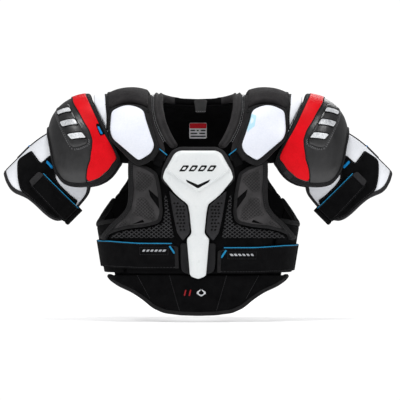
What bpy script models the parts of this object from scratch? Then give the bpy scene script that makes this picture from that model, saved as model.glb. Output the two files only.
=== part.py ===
"""Hockey shoulder pads, worn upright: +X is the wearer's left, -Y the front, +Z up, metres.

The origin is on the symmetry plane at the level of the wearer's shoulder line.
Soft and hard pieces are plates drawn flat in a chart and then formed over a body surface.
The charts work in millimetres, and MM takes their points to metres.
"""

import math

import bmesh
import bpy
from mathutils import Vector

MM = 0.001

# Body surface, millimetres
SHOULDER_TOP = 4.0
CHEST_LEVEL = -140.0
CHEST_DEPTH = 118.0
BACK_DEPTH = 105.0
BELLY_TAPER = 12.0
TAPER_FROM = -200.0
TORSO_HALF_WIDTH = 188.0
SHOULDER_HALF_WIDTH = 260.0
WIDTH_LOW_Z = -240.0
WAIST_NARROWING = 0.165
WIDTH_HIGH_Z = -60.0
PLAN_POWER = 2.6
SIDE_POWER = 2.5
MM_PER_DEGREE = 2.0

# Layers, as distances outwards from the body surface
BASE_LAYER = (0.0, 6.0)
PLATE_LAYER = (7.2, 13.4)
MESH_LAYER = (7.2, 8.8)
STERNUM_BASE_LAYER = (7.2, 10.4)
STERNUM_LAYER = (11.2, 17.4)
YOKE_LAYER = (0.0, 8.0)
YOKE_STRAP_LAYER = (10.8, 13.4)
COVER_LAYER = (9.0, 21.0)
CLAVICLE_BASE_LAYER = (14.0, 19.0)
CLAVICLE_SHELL_LAYER = (20.0, 25.0)
COLLAR_LAYER = (-3.0, 13.0)
STRAP_LAYER = (7.5, 11.0)
BACK_PAD_LAYER = (7.2, 17.0)
INNER_LAYER = (-5.0, -1.0)
LABEL_LAYER = (-7.4, -6.4)
GRID = 26.0
FINE_GRID = 13.0

# Shoulder cap, a superellipsoid dome for the wearer's left side
DOME_CENTRE = Vector((190.0, 0.0, -95.0))
DOME_WIDTH = 101.0
DOME_DEPTH = 110.0
DOME_RISE = 108.0
DOME_DROP = 150.0
DOME_POWER = 2.5
DOME_POLE_TILT = math.radians(50.0)
DOME_CHART = 100.0
CAP_LAYER = (-5.0, 0.0)
ACCENT_LAYER = (2.6, 4.2)
POD_LAYER = (2.4, 5.8)
CAP_LINER_LAYER = (-14.0, -8.0)

# Upper arm guard, a flared elliptical tube along the arm
ARM_START = Vector((200.0, 0.0, -80.0))
ARM_AXIS = Vector((math.sqrt(0.5), 0.0, -math.sqrt(0.5)))
ARM_INWARD = Vector((-math.sqrt(0.5), 0.0, -math.sqrt(0.5)))
ARM_SHIFT = -3.5
ARM_WIDE = 78.0
ARM_DEEP = 59.0
ARM_WAIST = 10.0
ARM_WAIST_FROM = 100.0
ARM_WAIST_LENGTH = 60.0
GUARD_LAYER = (-9.0, 0.0)
OVERLAY_LAYER = (0.9, 2.5)
ARM_STRAP_LAYER = (4.5, 7.5)
ARM_STRAP = (108.0, 147.0)
ARM_STRAP_END = 74.0
ARM_STRAP_HINGE = 148.0
ARM_STRAP_CLIMB = 14.0
ARM_STRAP_FREE = (158.0, 202.0)
ARM_STRAP_PULL = 7.0

# Chest strap and belly pad
STRAP_TOP = -265.0
STRAP_BOTTOM = -319.0
LEFT_STRAP_DROP = 8.0
STRAP_TIP = -82.8
STRAP_HINGE = -12.0
STRAP_BACK = 50.0
BELLY_TOP = -331.0

# Hinge places, metres
CLAVICLE_HINGE = (0.128, -0.078, -0.011)
CAP_HINGE = (0.203, 0.0, 0.006)
GUARD_HINGE = (0.190, 0.0, -0.095)
STRAP_HINGE_PLACE = (0.184, -0.0345, -0.293)
BELLY_HINGE = (0.0, -0.113, -0.330)

# Flat cushions on the wearer's shoulders, millimetres
CUSHION_CENTRE_X = 120.0
CUSHION_HALF = (33.0, 25.0)
CUSHION_HEIGHTS = (-11.0, -3.0)

# Hang loop at the back of the neck, millimetres
LOOP_LOW = (-8.0, 31.5, -22.0)
LOOP_HIGH = (18.0, 33.5, 3.0)
LOOP_TAPER = 0.3


def clear_scene():
    for obj in list(bpy.data.objects):
        bpy.data.objects.remove(obj, do_unlink=True)


def material(name, colour, roughness, metallic=0.0):
    made = bpy.data.materials.new(name)
    made.use_nodes = True
    shader = made.node_tree.nodes["Principled BSDF"]
    shader.inputs["Base Color"].default_value = (*colour, 1.0)
    shader.inputs["Roughness"].default_value = roughness
    shader.inputs["Metallic"].default_value = metallic
    return made


def smooth(t):
    t = min(1.0, max(0.0, t))
    return t * t * (3.0 - 2.0 * t)


def half_width(z):
    rise = smooth((z - WIDTH_LOW_Z) / (WIDTH_HIGH_Z - WIDTH_LOW_Z))
    waist = WAIST_NARROWING * max(0.0, WIDTH_LOW_Z - z)
    return TORSO_HALF_WIDTH - waist + (SHOULDER_HALF_WIDTH - TORSO_HALF_WIDTH) * rise


def depth(z, full):
    """Distance from the shoulder plane to the body surface on the middle line."""
    if z <= CHEST_LEVEL:
        low = max(0.0, (TAPER_FROM - z) / -TAPER_FROM)
        return full - BELLY_TAPER * low * low
    k = min(1.0, (z - CHEST_LEVEL) / (SHOULDER_TOP - CHEST_LEVEL))
    return full * math.sqrt(max(0.0, 1.0 - k**SIDE_POWER))


def profile(full, t=0.0):
    """The side profile from the shoulder top down: (arc length, height t outside it) pairs."""
    steps = 240
    places = []
    for i in range(steps + 1):
        if i <= steps // 2:
            k = math.cos(math.pi / 2 * i / (steps // 2)) ** (2.0 / SIDE_POWER)
            z = CHEST_LEVEL + (SHOULDER_TOP - CHEST_LEVEL) * k
        else:
            z = CHEST_LEVEL - 300.0 * (i - steps // 2) / (steps // 2)
        places.append((depth(z, full), z))
    spots = []
    length = 0.0
    for i, here in enumerate(places):
        before = places[max(0, i - 1)]
        after = places[min(steps, i + 1)]
        length += math.dist(here, before)
        spots.append((length, here[1] + t * (after[0] - before[0]) / math.dist(after, before)))
    return spots


PROFILES = {-1: profile(CHEST_DEPTH), 1: profile(BACK_DEPTH)}


def interpolate(pairs, value, key, other):
    rising = pairs[-1][key] > pairs[0][key]
    for low, high in zip(pairs, pairs[1:]):
        inside = value <= high[key] if rising else value >= high[key]
        if inside:
            break
    share = (value - low[key]) / (high[key] - low[key])
    return low[other] + (high[other] - low[other]) * share


def front(points, t=0.0):
    """Chart points of the chest from (x, z) pairs read t outside the body surface."""
    pairs = profile(CHEST_DEPTH, t)
    return [(x, interpolate(pairs, z, 1, 0)) for x, z in points]


def back(points):
    return [(x, -interpolate(PROFILES[1], z, 1, 0)) for x, z in points]


def torso_base(x, s):
    side = -1 if s >= 0 else 1
    z = interpolate(PROFILES[side], abs(s), 0, 1)
    full = CHEST_DEPTH if side < 0 else BACK_DEPTH
    inside = max(0.0, 1.0 - (abs(x) / half_width(z)) ** PLAN_POWER)
    return Vector((x, side * depth(z, full) * inside ** (1.0 / PLAN_POWER), z))


def offset_along(base, u, w, t, step=1.0):
    across = base(u + step, w) - base(u - step, w)
    along = base(u, w + step) - base(u, w - step)
    return base(u, w) + along.cross(across).normalized() * t


def torso(x, s, t):
    return offset_along(torso_base, x, s, t)


def side_base(q, z):
    """The torso's plan at height z: q runs from the front through the wearer's left side."""
    angle = math.radians(q / MM_PER_DEGREE)
    full = CHEST_DEPTH if q < 0 else BACK_DEPTH
    wide = half_width(z) * math.cos(angle) ** (2.0 / PLAN_POWER)
    deep = depth(z, full) * abs(math.sin(angle)) ** (2.0 / PLAN_POWER)
    return Vector((wide, math.copysign(deep, angle), z))


def side(q, z, t):
    return offset_along(side_base, q, z, -t)


def dome_axes():
    pole = Vector((math.sin(DOME_POLE_TILT), 0.0, math.cos(DOME_POLE_TILT)))
    ahead = Vector((0.0, -1.0, 0.0))
    down = Vector((math.cos(DOME_POLE_TILT), 0.0, -math.sin(DOME_POLE_TILT)))
    return pole, ahead, down


def dome_base(u, w):
    pole, ahead, down = dome_axes()
    turn = math.hypot(u, w) / DOME_CHART
    spread = math.sin(turn) / turn / DOME_CHART if turn > 1e-6 else 1.0 / DOME_CHART
    way = pole * math.cos(turn) + (ahead * u + down * w) * spread
    tall = DOME_RISE if way.z > 0 else DOME_DROP
    shares = (way.x / DOME_WIDTH, way.y / DOME_DEPTH, way.z / tall)
    size = sum(abs(v) ** DOME_POWER for v in shares) ** (-1.0 / DOME_POWER)
    return DOME_CENTRE + way * size


def dome(u, w, t):
    return offset_along(dome_base, u, w, -t)


def dome_point(x, z, y=None):
    """Chart point of the dome's front at (x, z), or of the direction through y when given."""
    dx = x - DOME_CENTRE.x
    dz = z - DOME_CENTRE.z
    tall = DOME_RISE if dz > 0 else DOME_DROP
    if y is None:
        left = 1.0 - abs(dx / DOME_WIDTH) ** DOME_POWER - abs(dz / tall) ** DOME_POWER
        y = -DOME_DEPTH * max(0.0, left) ** (1.0 / DOME_POWER)
    pole, ahead, down = dome_axes()
    way = Vector((dx, y, dz)).normalized()
    turn = math.acos(max(-1.0, min(1.0, way.dot(pole))))
    scale = DOME_CHART * turn / math.sin(turn)
    return way.dot(ahead) * scale, way.dot(down) * scale


def arm_radii(a):
    waist = max(0.0, (ARM_WAIST_FROM - a) / ARM_WAIST_LENGTH) ** 2 * ARM_WAIST
    return ARM_WIDE - waist, ARM_DEEP - waist


def arm(g, a, t):
    """The arm tube: g is the way round from the outer side, through the front, and a runs down the arm."""
    wide, deep = arm_radii(a)
    turn = g / ARM_WIDE
    out = ARM_INWARD * (ARM_SHIFT - (wide + t) * math.cos(turn))
    return ARM_START + ARM_AXIS * a + out + Vector((0.0, -(deep + t) * math.sin(turn), 0.0))


def arm_loop(g, a, t):
    """The arm tube with the inner side drawn in, where the strap crosses the open gap."""
    turn = math.degrees(g / ARM_WIDE)
    start, end = ARM_STRAP_FREE
    pull = smooth((turn - start) / ARM_STRAP_CLIMB) * smooth((end - turn) / ARM_STRAP_CLIMB)
    return arm(g, a, t - ARM_STRAP_PULL * pull)


def arm_front(points):
    """Chart points of the arm tube's front from (down the arm, across it) pairs."""
    found = []
    for a, c in points:
        wide = arm_radii(a)[0]
        share = max(-1.0, min(1.0, (ARM_SHIFT - c) / wide))
        found.append((math.acos(share) * ARM_WIDE, a))
    return found


def arm_degrees(points):
    return [(math.radians(turn) * ARM_WIDE, a) for turn, a in points]


def mirrored(points):
    """A closed outline from the half with u >= 0, listed from top to bottom."""
    return points + [(-u, w) for u, w in reversed(points) if abs(u) > 1e-6]


def cut_grid(mesh, cell):
    for axis in (0, 1):
        low = min(v.co[axis] for v in mesh.verts)
        high = max(v.co[axis] for v in mesh.verts)
        normal = Vector((1.0, 0.0, 0.0)) if axis == 0 else Vector((0.0, 1.0, 0.0))
        for i in range(math.floor(low / cell) + 1, math.ceil(high / cell)):
            everything = mesh.verts[:] + mesh.edges[:] + mesh.faces[:]
            bmesh.ops.bisect_plane(
                mesh, geom=everything, dist=0.01, plane_co=normal * i * cell, plane_no=normal
            )


def plate(name, outline, form, layer, paint, hand=1, cell=GRID):
    """A closed plate: the outline filled, cut to a grid, given thickness and formed over its surface."""
    mesh = bmesh.new()
    mesh.faces.new([mesh.verts.new((u, w, 0.0)) for u, w in outline])
    cut_grid(mesh, cell)
    grown = bmesh.ops.extrude_face_region(mesh, geom=mesh.faces[:], use_keep_orig=True)["geom"]
    for vert in (v for v in grown if isinstance(v, bmesh.types.BMVert)):
        vert.co.z = 1.0
    bmesh.ops.recalc_face_normals(mesh, faces=mesh.faces[:])
    for vert in mesh.verts:
        t = layer[1] if vert.co.z > 0.5 else layer[0]
        place = form(vert.co.x, vert.co.y, t)
        vert.co = Vector((place.x * hand, place.y, place.z)) * MM
    if mesh.calc_volume(signed=True) < 0:
        bmesh.ops.reverse_faces(mesh, faces=mesh.faces[:])
    return finish(name, mesh, paint)


def finish(name, mesh, paint, angle=40.0):
    data = bpy.data.meshes.new(name)
    mesh.to_mesh(data)
    mesh.free()
    data.materials.append(paint)
    data.shade_smooth()
    data.set_sharp_from_angle(angle=math.radians(angle))
    obj = bpy.data.objects.new(name, data)
    PARTS.objects.link(obj)
    return obj


def box(name, low, high, taper, paint, bevel):
    """A rounded block between two corners in millimetres, its lower end narrowed by taper."""
    mesh = bmesh.new()
    bmesh.ops.create_cube(mesh, size=1.0)
    low = Vector(low)
    high = Vector(high)
    for vert in mesh.verts:
        narrow = 1.0 - taper if vert.co.z < 0 else 1.0
        share = Vector((vert.co.x * narrow + 0.5, vert.co.y + 0.5, vert.co.z + 0.5))
        vert.co = Vector([a + (b - a) * c for a, b, c in zip(low, high, share)]) * MM
    rounding = finish(name, mesh, paint).modifiers.new("Rounding", "BEVEL")
    rounding.width = bevel * MM
    rounding.segments = 2


def carry(name, place, hand, pieces):
    """Parents the pieces to an empty on their joint's axis, leaving them where they are."""
    pivot = bpy.data.objects.new(name, None)
    pivot.location = (place[0] * hand, place[1], place[2])
    PARTS.objects.link(pivot)
    for piece in pieces:
        piece.parent = pivot
        piece.matrix_parent_inverse.translation = -pivot.location


def chest_middle():
    liner = [(0, -96), (34, -96), (48, -102), (56, -119), (126, -119), (126, -150)]
    liner += [(123, -190), (126, -205), (134, -218), (143, -229), (131, -328), (0, -328)]
    plate("chest_liner", mirrored(front(liner)), torso, BASE_LAYER, BLACK_FOAM)
    base = [(0, -92), (35, -92), (48, -98), (58, -112), (67, -132), (69, -150), (60, -162)]
    base += [(51, -168), (17, -197), (0, -197)]
    plate("sternum_base", mirrored(front(base)), torso, STERNUM_BASE_LAYER, BLACK_FOAM)
    white = [(0, -99), (34, -99), (44, -104), (53, -120), (62, -135), (66, -149), (53, -165)]
    white += [(44, -177), (32, -188), (19, -198), (16, -213), (12, -253), (21, -263), (20, -272)]
    white += [(15, -332), (0, -338)]
    plate("sternum_plate", mirrored(front(white)), torso, STERNUM_LAYER, WHITE_PLASTIC)
    channel = [(0, -271), (33, -271), (32.5, -308), (30, -323), (22, -328), (0, -328)]
    plate("sternum_channel", mirrored(front(channel)), torso, STERNUM_BASE_LAYER, BLACK_PLASTIC)


def chest_side(word, hand):
    chest = [(128, -117), (116, -120), (91, -130), (77, -140), (73, -156), (69, -180), (66, -213)]
    chest += [(69, -228), (77, -234), (99, -239), (128, -242), (148, -247), (162, -253)]
    chest += [(174, -261), (170, -251), (160, -239), (148, -226), (137, -215), (129.5, -203)]
    chest += [(127, -190), (126.5, -171), (127.5, -152), (128.5, -133)]
    plate(word + "_chest_plate", front(chest), torso, PLATE_LAYER, GREY_FABRIC, hand)
    net = [(59, -176), (64, -182), (63, -213), (66, -231), (75, -237), (99, -242), (128, -245)]
    net += [(148, -250), (159, -256), (166, -262), (42, -262), (45, -252), (50, -218)]
    plate(word + "_mesh_panel", front(net), torso, MESH_LAYER, MESH_FABRIC, hand, FINE_GRID)
    insert = [(54, -171), (44, -180), (21, -200), (18, -213), (14, -251), (23, -261)]
    insert += [(28, -267), (39, -251), (46, -218)]
    plate(word + "_sternum_insert", front(insert), torso, PLATE_LAYER, GREY_PLASTIC, hand)
    link = [(70, -98), (60, -105), (69, -129), (85, -121)]
    plate(word + "_yoke_strap", front(link), torso, YOKE_STRAP_LAYER, BLACK_WEBBING, hand)


def shoulder_side(word, hand):
    ridge = [(88, 0.0), (163, 0.0)]
    inner = front([(60, -116), (62, -96), (65, -83), (74, -67), (82, -49), (88, -28)])
    outer = front([(162, -10), (160, -30), (152, -60), (140, -90), (126, -116)])
    rear = back([(161, -20), (150, -62)]) + [(66, back([(66, -62)])[0][1]), (69, -45), (85, -21)]
    outline = inner + [ridge[0]] + rear[::-1] + [ridge[1]] + outer
    plate(word + "_shoulder_yoke", outline, torso, YOKE_LAYER, BLACK_FOAM, hand)

    seam = front([(92, -12), (108, -6), (130, -3), (150, -6), (168, -14)], COVER_LAYER[1])
    rear = back([(160, -40), (150, -80), (120, -96), (90, -92), (78, -60)])
    cover = seam + [(174, 0.0)] + rear + [(89, -34), (93, 0.0)]
    plate(word + "_shoulder_cover", cover, torso, COVER_LAYER, GREY_FABRIC, hand)

    side_edge = front([(169, -58), (178, -40), (189, -19), (198, -2)], YOKE_LAYER[1])
    rear_edge = [(x, -s) for x, s in reversed(side_edge)]
    arch = side_edge + [(200, 0.0)] + rear_edge + back([(166, -58)]) + front([(166, -58)])
    plate(word + "_shoulder_arch", arch, torso, YOKE_LAYER, WHITE_FABRIC, hand)

    base = [(93, -17), (108, -10), (130, -7), (150, -10), (165, -18), (165, -60), (161, -74)]
    base += [(150, -86), (138, -98), (124, -114), (112, -122), (106, -124), (91, -118)]
    base += [(80, -108), (74, -97), (74, -89), (78, -80), (82, -66), (89, -42)]
    flap = front(base, CLAVICLE_BASE_LAYER[1])
    under = plate(word + "_clavicle_base", flap, torso, CLAVICLE_BASE_LAYER, BLACK_FOAM, hand)
    white = [(101, -19), (116, -11), (130, -8), (142, -10), (160, -19), (161, -57), (156, -72)]
    white += [(137, -89), (114, -110), (108, -114), (103, -112), (86, -101), (80, -87)]
    white += [(89, -61), (97, -36)]
    raised = front(white, CLAVICLE_SHELL_LAYER[1])
    shell = plate(
        word + "_clavicle_shell", raised, torso, CLAVICLE_SHELL_LAYER, WHITE_PLASTIC, hand
    )
    carry(word + "_clavicle_pivot", CLAVICLE_HINGE, hand, [under, shell])

    near = hand * CUSHION_CENTRE_X - CUSHION_HALF[0]
    far = hand * CUSHION_CENTRE_X + CUSHION_HALF[0]
    low = (near, -CUSHION_HALF[1], CUSHION_HEIGHTS[0])
    high = (far, CUSHION_HALF[1], CUSHION_HEIGHTS[1])
    box(word + "_shoulder_cushion", low, high, 0.0, GREY_FABRIC, 1.5)


def collar():
    inner = front([(36, -89), (44, -78), (53, -61), (61, -42), (66, -19)])
    inner += [(67, 0.0), (64, -16), (52, -28), (30, -36)]
    outer = front([(49, -95), (61, -82), (70, -66), (78, -48), (84, -28)])
    outer += [(85, 0.0), (82, -20), (66, -42), (38, -54)]
    for word, hand in SIDES:
        plate(word + "_collar_roll", inner + outer[::-1], torso, COLLAR_LAYER, GREY_FABRIC, hand)
    behind = mirrored([(0, -37), (28, -36.5), (36, -55), (0, -57)])
    plate("back_collar", behind, torso, COLLAR_LAYER, BLACK_FOAM)
    box("hang_loop", LOOP_LOW, LOOP_HIGH, LOOP_TAPER, GREY_WEBBING, 0.6)


def back_middle():
    low = back([(134, -90), (131, -129), (133, -144), (137, -154), (149, -171), (155.5, -184)])
    low += back([(152, -202), (146.5, -222), (145, -240), (133.5, -328), (0, -328)])
    shoulder = back([(64, -64)])[0][1]
    panel = [(0, -60), (38, -57.3), (62, -47), (62, shoulder), (136, shoulder)] + low
    plate("back_panel", mirrored(panel), torso, BASE_LAYER, BLACK_FOAM)
    spine = back([(0, -46), (30, -48), (38, -60), (30, -215), (0, -219)])
    plate("spine_guard", mirrored(spine), torso, BACK_PAD_LAYER, GREY_PLASTIC)
    kidney = back([(0, -224), (36, -222), (105, -238), (120, -262), (112, -322), (0, -330)])
    plate("lower_back_pad", mirrored(kidney), torso, BACK_PAD_LAYER, GREY_FABRIC)
    lining = [(0, -61), (40, -60), (68, -52), (82, -66)]
    lining += back([(84, -60), (80, -110), (58, -168), (0, -176)])
    plate("back_liner", mirrored(lining), torso, INNER_LAYER, BLACK_FOAM)
    label = back([(0, -36), (17, -36), (17, -68), (0, -68)])
    plate("size_label", mirrored(label), torso, LABEL_LAYER, LABEL_FABRIC)
    for word, hand in SIDES:
        blade = back([(46, -104), (80, -108), (116, -112), (122, -140), (110, -190), (60, -212)])
        blade += back([(42, -206), (44, -150)])
        plate(word + "_scapula_pad", blade, torso, BACK_PAD_LAYER, GREY_FABRIC, hand)


def degrees(points):
    return [(turn * MM_PER_DEGREE, z) for turn, z in points]


def sides(word, hand):
    wing = [(-43, -232), (-20, -237), (0, -241), (15, -232), (25, -220), (35, -206), (43.5, -192)]
    wing += [(43.5, -327), (-43, -327)]
    plate(word + "_rib_wing", degrees(wing), side, BASE_LAYER, BLACK_FOAM, hand)
    drop = LEFT_STRAP_DROP if hand > 0 else 0.0
    top = STRAP_TOP - drop
    low = STRAP_BOTTOM - drop
    held = [(STRAP_HINGE + 1.5, top), (STRAP_BACK, top + 2), (STRAP_BACK, low + 8)]
    held += [(STRAP_HINGE + 1.5, low + 4)]
    plate(word + "_strap_anchor", degrees(held), side, STRAP_LAYER, BLACK_WEBBING, hand)
    loose = [(STRAP_TIP, top - 12), (STRAP_TIP + 4, top - 5), (-60, top - 5), (-35, top - 1)]
    loose += [(STRAP_HINGE, top), (STRAP_HINGE, low + 4), (-60, low), (STRAP_TIP, low)]
    strap = plate(word + "_chest_strap", degrees(loose), side, STRAP_LAYER, BLACK_WEBBING, hand)
    carry(word + "_strap_pivot", STRAP_HINGE_PLACE, hand, [strap])


def belly():
    edge = [(0, BELLY_TOP), (170, BELLY_TOP), (162, -342), (146, -353), (122, -364), (103, -377)]
    edge += [(84, -393), (64, -402), (33, -406), (0, -407)]
    pad = plate("belly_pad", mirrored(front(edge)), torso, BASE_LAYER, BLACK_FOAM)
    carry("belly_pivot", BELLY_HINGE, 1, [pad])


def cap_rim():
    inner = [(204, 1), (193, -19), (182, -40), (172, -62), (159, -86), (146, -111), (148, -120)]
    lower = [(158, -135), (167, -146), (178, -155), (193, -162), (209, -165), (226, -166)]
    outer = [(243, -164), (254, -159), (262, -151), (270, -139), (275, -126), (279, -108), (282, -89)]
    half = [dome_point(207, 12.5, 0.0), dome_point(206, 11.0)]
    half += [dome_point(x, z) for x, z in inner + lower + outer]
    return half + [dome_point(286, -73, -46.0), dome_point(290, -61, -25.0), dome_point(291, -56, 0.0)]


def around(half):
    """A closed outline from its front half, whose ends lie on the shoulder plane."""
    return half + [(-u, w) for u, w in reversed(half) if abs(u) > 1.0]


def cap_side(word, hand):
    shell = plate(word + "_cap_shell", around(cap_rim()), dome, CAP_LAYER, GREY_LEATHER, hand, 24.0)
    outer = [(238, 0), (236, -8), (224, -27), (215, -44), (205, -59), (199, -76), (200, -91)]
    outer += [(203, -114), (210, -155)]
    inner = [(186, -146), (168, -131), (154, -112), (159, -98), (168, -82), (176, -69)]
    inner += [(192, -38), (201, -19), (209, -3)]
    half = [dome_point(x, z) for x, z in outer + inner]
    crown = [dome_point(213, 12.5, 0.0), dome_point(240, 5.0, 0.0)]
    band = [crown[0], crown[1]] + half
    rear = [(-u, w) for u, w in half]
    accent = plate(
        word + "_cap_accent", band[1:] + [band[0]] + rear[::-1], dome, ACCENT_LAYER, RED, hand, 24.0
    )
    raised = [(268, -22), (262, -34), (252, -58), (243, -80), (236, -92), (222, -90)]
    raised += [(212, -80), (222, -58), (238, -30), (248, -14)]
    pod = plate(
        word + "_cap_pod",
        [dome_point(x, z) for x, z in raised],
        dome,
        POD_LAYER,
        GREY_PLASTIC,
        hand,
        24.0,
    )
    foam = [(0, -72), (50, -64), (62, -40), (52, -24), (0, -20)]
    liner = plate(
        word + "_cap_liner", around(foam), dome, CAP_LINER_LAYER, BLACK_FOAM, hand, 24.0
    )
    carry(word + "_cap_pivot", CAP_HINGE, hand, [shell, accent, pod, liner])


def guard_side(word, hand):
    hem = arm_front([(167, -73), (171, -64), (174, -51), (173, -39), (168, -27), (163, -13)])
    hem += arm_front([(161, 6), (161, 32), (159, 50), (153, 60), (141, 66), (126, 69)])
    edge = [(0, 161)] + hem + arm_degrees([(153, 106), (150, 76), (140, 62), (110, 46), (60, 40)])
    half = edge + [(0, 38)]
    shell = plate(word + "_bicep_guard", around(half), arm, GUARD_LAYER, WHITE_FABRIC, hand)
    wrap = arm_front([(96, -70), (98, -41), (75, -40), (62, -24), (98, -3), (101.5, 14)])
    wrap += arm_front([(101.5, 41), (99, 58), (128, 62), (150, 55), (157, 40), (158, 6)])
    wrap += arm_front([(160, -14), (162, -32), (150, -54)])
    wrap += arm_front([(137, -67), (127, -74)])
    over = [(0, 94)] + wrap + [(0, 127)]
    overlay = plate(word + "_bicep_overlay", around(over), arm, OVERLAY_LAYER, BLACK_FABRIC, hand)
    a0, a1 = ARM_STRAP
    loop = arm_degrees([(ARM_STRAP_HINGE + 2, a0), (282, a0), (282, a1), (ARM_STRAP_HINGE + 2, a1)])
    name = word + "_bicep_strap_loop"
    held = plate(name, loop, arm_loop, ARM_STRAP_LAYER, BLACK_WEBBING, hand, FINE_GRID)
    loose = arm_degrees([(ARM_STRAP_END, a0), (ARM_STRAP_HINGE, a0), (ARM_STRAP_HINGE, a1)])
    loose += arm_degrees([(ARM_STRAP_END, a1 - 4)])
    strap = plate(word + "_bicep_strap", loose, arm, ARM_STRAP_LAYER, BLACK_WEBBING, hand)
    carry(word + "_guard_pivot", GUARD_HINGE, hand, [shell, overlay, held])
    axis_point = arm(math.radians(ARM_STRAP_HINGE + 1) * ARM_WIDE, (a0 + a1) / 2, ARM_STRAP_LAYER[0])
    carry(word + "_bicep_strap_pivot", axis_point * MM, hand, [strap])


clear_scene()
SIDES = (("left", 1), ("right", -1))
PARTS = bpy.data.collections.new("hockey_shoulder_pads")
bpy.context.scene.collection.children.link(PARTS)

BLACK_FOAM = material("black_foam_fabric", (0.012, 0.012, 0.013), 0.85)
BLACK_PLASTIC = material("black_plastic", (0.015, 0.015, 0.016), 0.5)
BLACK_FABRIC = material("black_fabric", (0.008, 0.008, 0.009), 0.8)
BLACK_WEBBING = material("black_webbing", (0.010, 0.010, 0.011), 0.9)
GREY_FABRIC = material("grey_fabric", (0.045, 0.043, 0.044), 0.85)
GREY_LEATHER = material("grey_leather", (0.040, 0.040, 0.042), 0.45)
GREY_PLASTIC = material("grey_plastic", (0.055, 0.055, 0.060), 0.5)
GREY_WEBBING = material("grey_webbing", (0.07, 0.07, 0.07), 0.9)
MESH_FABRIC = material("mesh_fabric", (0.10, 0.10, 0.11), 0.8)
WHITE_PLASTIC = material("white_plastic", (0.86, 0.88, 0.90), 0.35)
WHITE_FABRIC = material("white_fabric", (0.85, 0.87, 0.91), 0.6)
LABEL_FABRIC = material("label_fabric", (0.8, 0.8, 0.8), 0.7)
RED = material("red_panel", (0.75, 0.012, 0.02), 0.4)

chest_middle()
collar()
back_middle()
belly()
for side_name, side_hand in SIDES:
    chest_side(side_name, side_hand)
    shoulder_side(side_name, side_hand)
    sides(side_name, side_hand)
    cap_side(side_name, side_hand)
    guard_side(side_name, side_hand)
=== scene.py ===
"""Hockey shoulder pads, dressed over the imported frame: +X is the wearer's left, -Y the front, +Z up.

Every piece is drawn flat in a chart in millimetres and formed over the surface that its CAD node was
formed over. The shapes are made for the wearer's left side and mirrored for the right.
"""

import math

import bpy
import numpy as np
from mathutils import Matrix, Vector
from mathutils.geometry import delaunay_2d_cdt


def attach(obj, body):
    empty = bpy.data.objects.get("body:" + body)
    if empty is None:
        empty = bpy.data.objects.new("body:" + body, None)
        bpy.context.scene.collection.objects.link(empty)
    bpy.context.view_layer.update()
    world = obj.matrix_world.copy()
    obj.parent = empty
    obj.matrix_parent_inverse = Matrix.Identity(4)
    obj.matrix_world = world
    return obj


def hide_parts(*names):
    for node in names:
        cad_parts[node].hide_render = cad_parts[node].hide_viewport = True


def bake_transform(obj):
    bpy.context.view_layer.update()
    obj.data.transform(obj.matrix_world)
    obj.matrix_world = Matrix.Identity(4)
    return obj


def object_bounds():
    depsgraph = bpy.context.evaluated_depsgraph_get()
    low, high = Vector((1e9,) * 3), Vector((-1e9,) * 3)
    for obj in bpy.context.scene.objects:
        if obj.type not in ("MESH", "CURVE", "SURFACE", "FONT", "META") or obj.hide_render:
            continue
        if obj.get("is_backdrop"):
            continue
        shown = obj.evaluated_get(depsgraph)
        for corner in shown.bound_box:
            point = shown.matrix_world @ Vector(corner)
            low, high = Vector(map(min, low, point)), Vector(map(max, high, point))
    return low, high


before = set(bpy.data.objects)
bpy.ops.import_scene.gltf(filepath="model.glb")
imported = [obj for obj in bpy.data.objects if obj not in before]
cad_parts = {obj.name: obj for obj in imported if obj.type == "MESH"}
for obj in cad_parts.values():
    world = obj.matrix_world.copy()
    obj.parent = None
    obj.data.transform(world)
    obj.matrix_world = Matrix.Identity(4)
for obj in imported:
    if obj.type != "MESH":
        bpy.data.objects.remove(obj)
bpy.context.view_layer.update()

MM = 0.001
SIDES = (("left", 1), ("right", -1))

# Body surface of the CAD, millimetres
SHOULDER_TOP = 4.0
CHEST_LEVEL = -140.0
CHEST_DEPTH = 118.0
BACK_DEPTH = 105.0
BELLY_TAPER = 12.0
TAPER_FROM = -200.0
TORSO_HALF_WIDTH = 188.0
SHOULDER_HALF_WIDTH = 260.0
WIDTH_LOW_Z = -240.0
WAIST_NARROWING = 0.165
WIDTH_HIGH_Z = -60.0
PLAN_POWER = 2.6
SIDE_POWER = 2.5
MM_PER_DEGREE = 2.0
DOME_CENTRE = np.array([190.0, 0.0, -95.0])
DOME_WIDTH = 101.0
DOME_DEPTH = 110.0
DOME_RISE = 108.0
DOME_DROP = 150.0
DOME_POWER = 2.5
DOME_POLE_TILT = math.radians(50.0)
DOME_CHART = 100.0
ARM_START = np.array([200.0, 0.0, -80.0])
ARM_AXIS = np.array([math.sqrt(0.5), 0.0, -math.sqrt(0.5)])
ARM_INWARD = np.array([-math.sqrt(0.5), 0.0, -math.sqrt(0.5)])
ARM_SHIFT = -3.5
ARM_WIDE = 78.0
ARM_DEEP = 59.0
ARM_WAIST = 10.0
ARM_WAIST_FROM = 100.0
ARM_WAIST_LENGTH = 60.0
ARM_STRAP_CLIMB = 14.0
ARM_STRAP_FREE = (158.0, 202.0)
ARM_STRAP_PULL = 7.0


# ---- The charts that the CAD pieces were formed over, for arrays of points ----


def half_width(z):
    t = np.clip((z - WIDTH_LOW_Z) / (WIDTH_HIGH_Z - WIDTH_LOW_Z), 0.0, 1.0)
    waist = WAIST_NARROWING * np.maximum(0.0, WIDTH_LOW_Z - z)
    return TORSO_HALF_WIDTH - waist + (SHOULDER_HALF_WIDTH - TORSO_HALF_WIDTH) * t * t * (3.0 - 2.0 * t)


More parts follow.
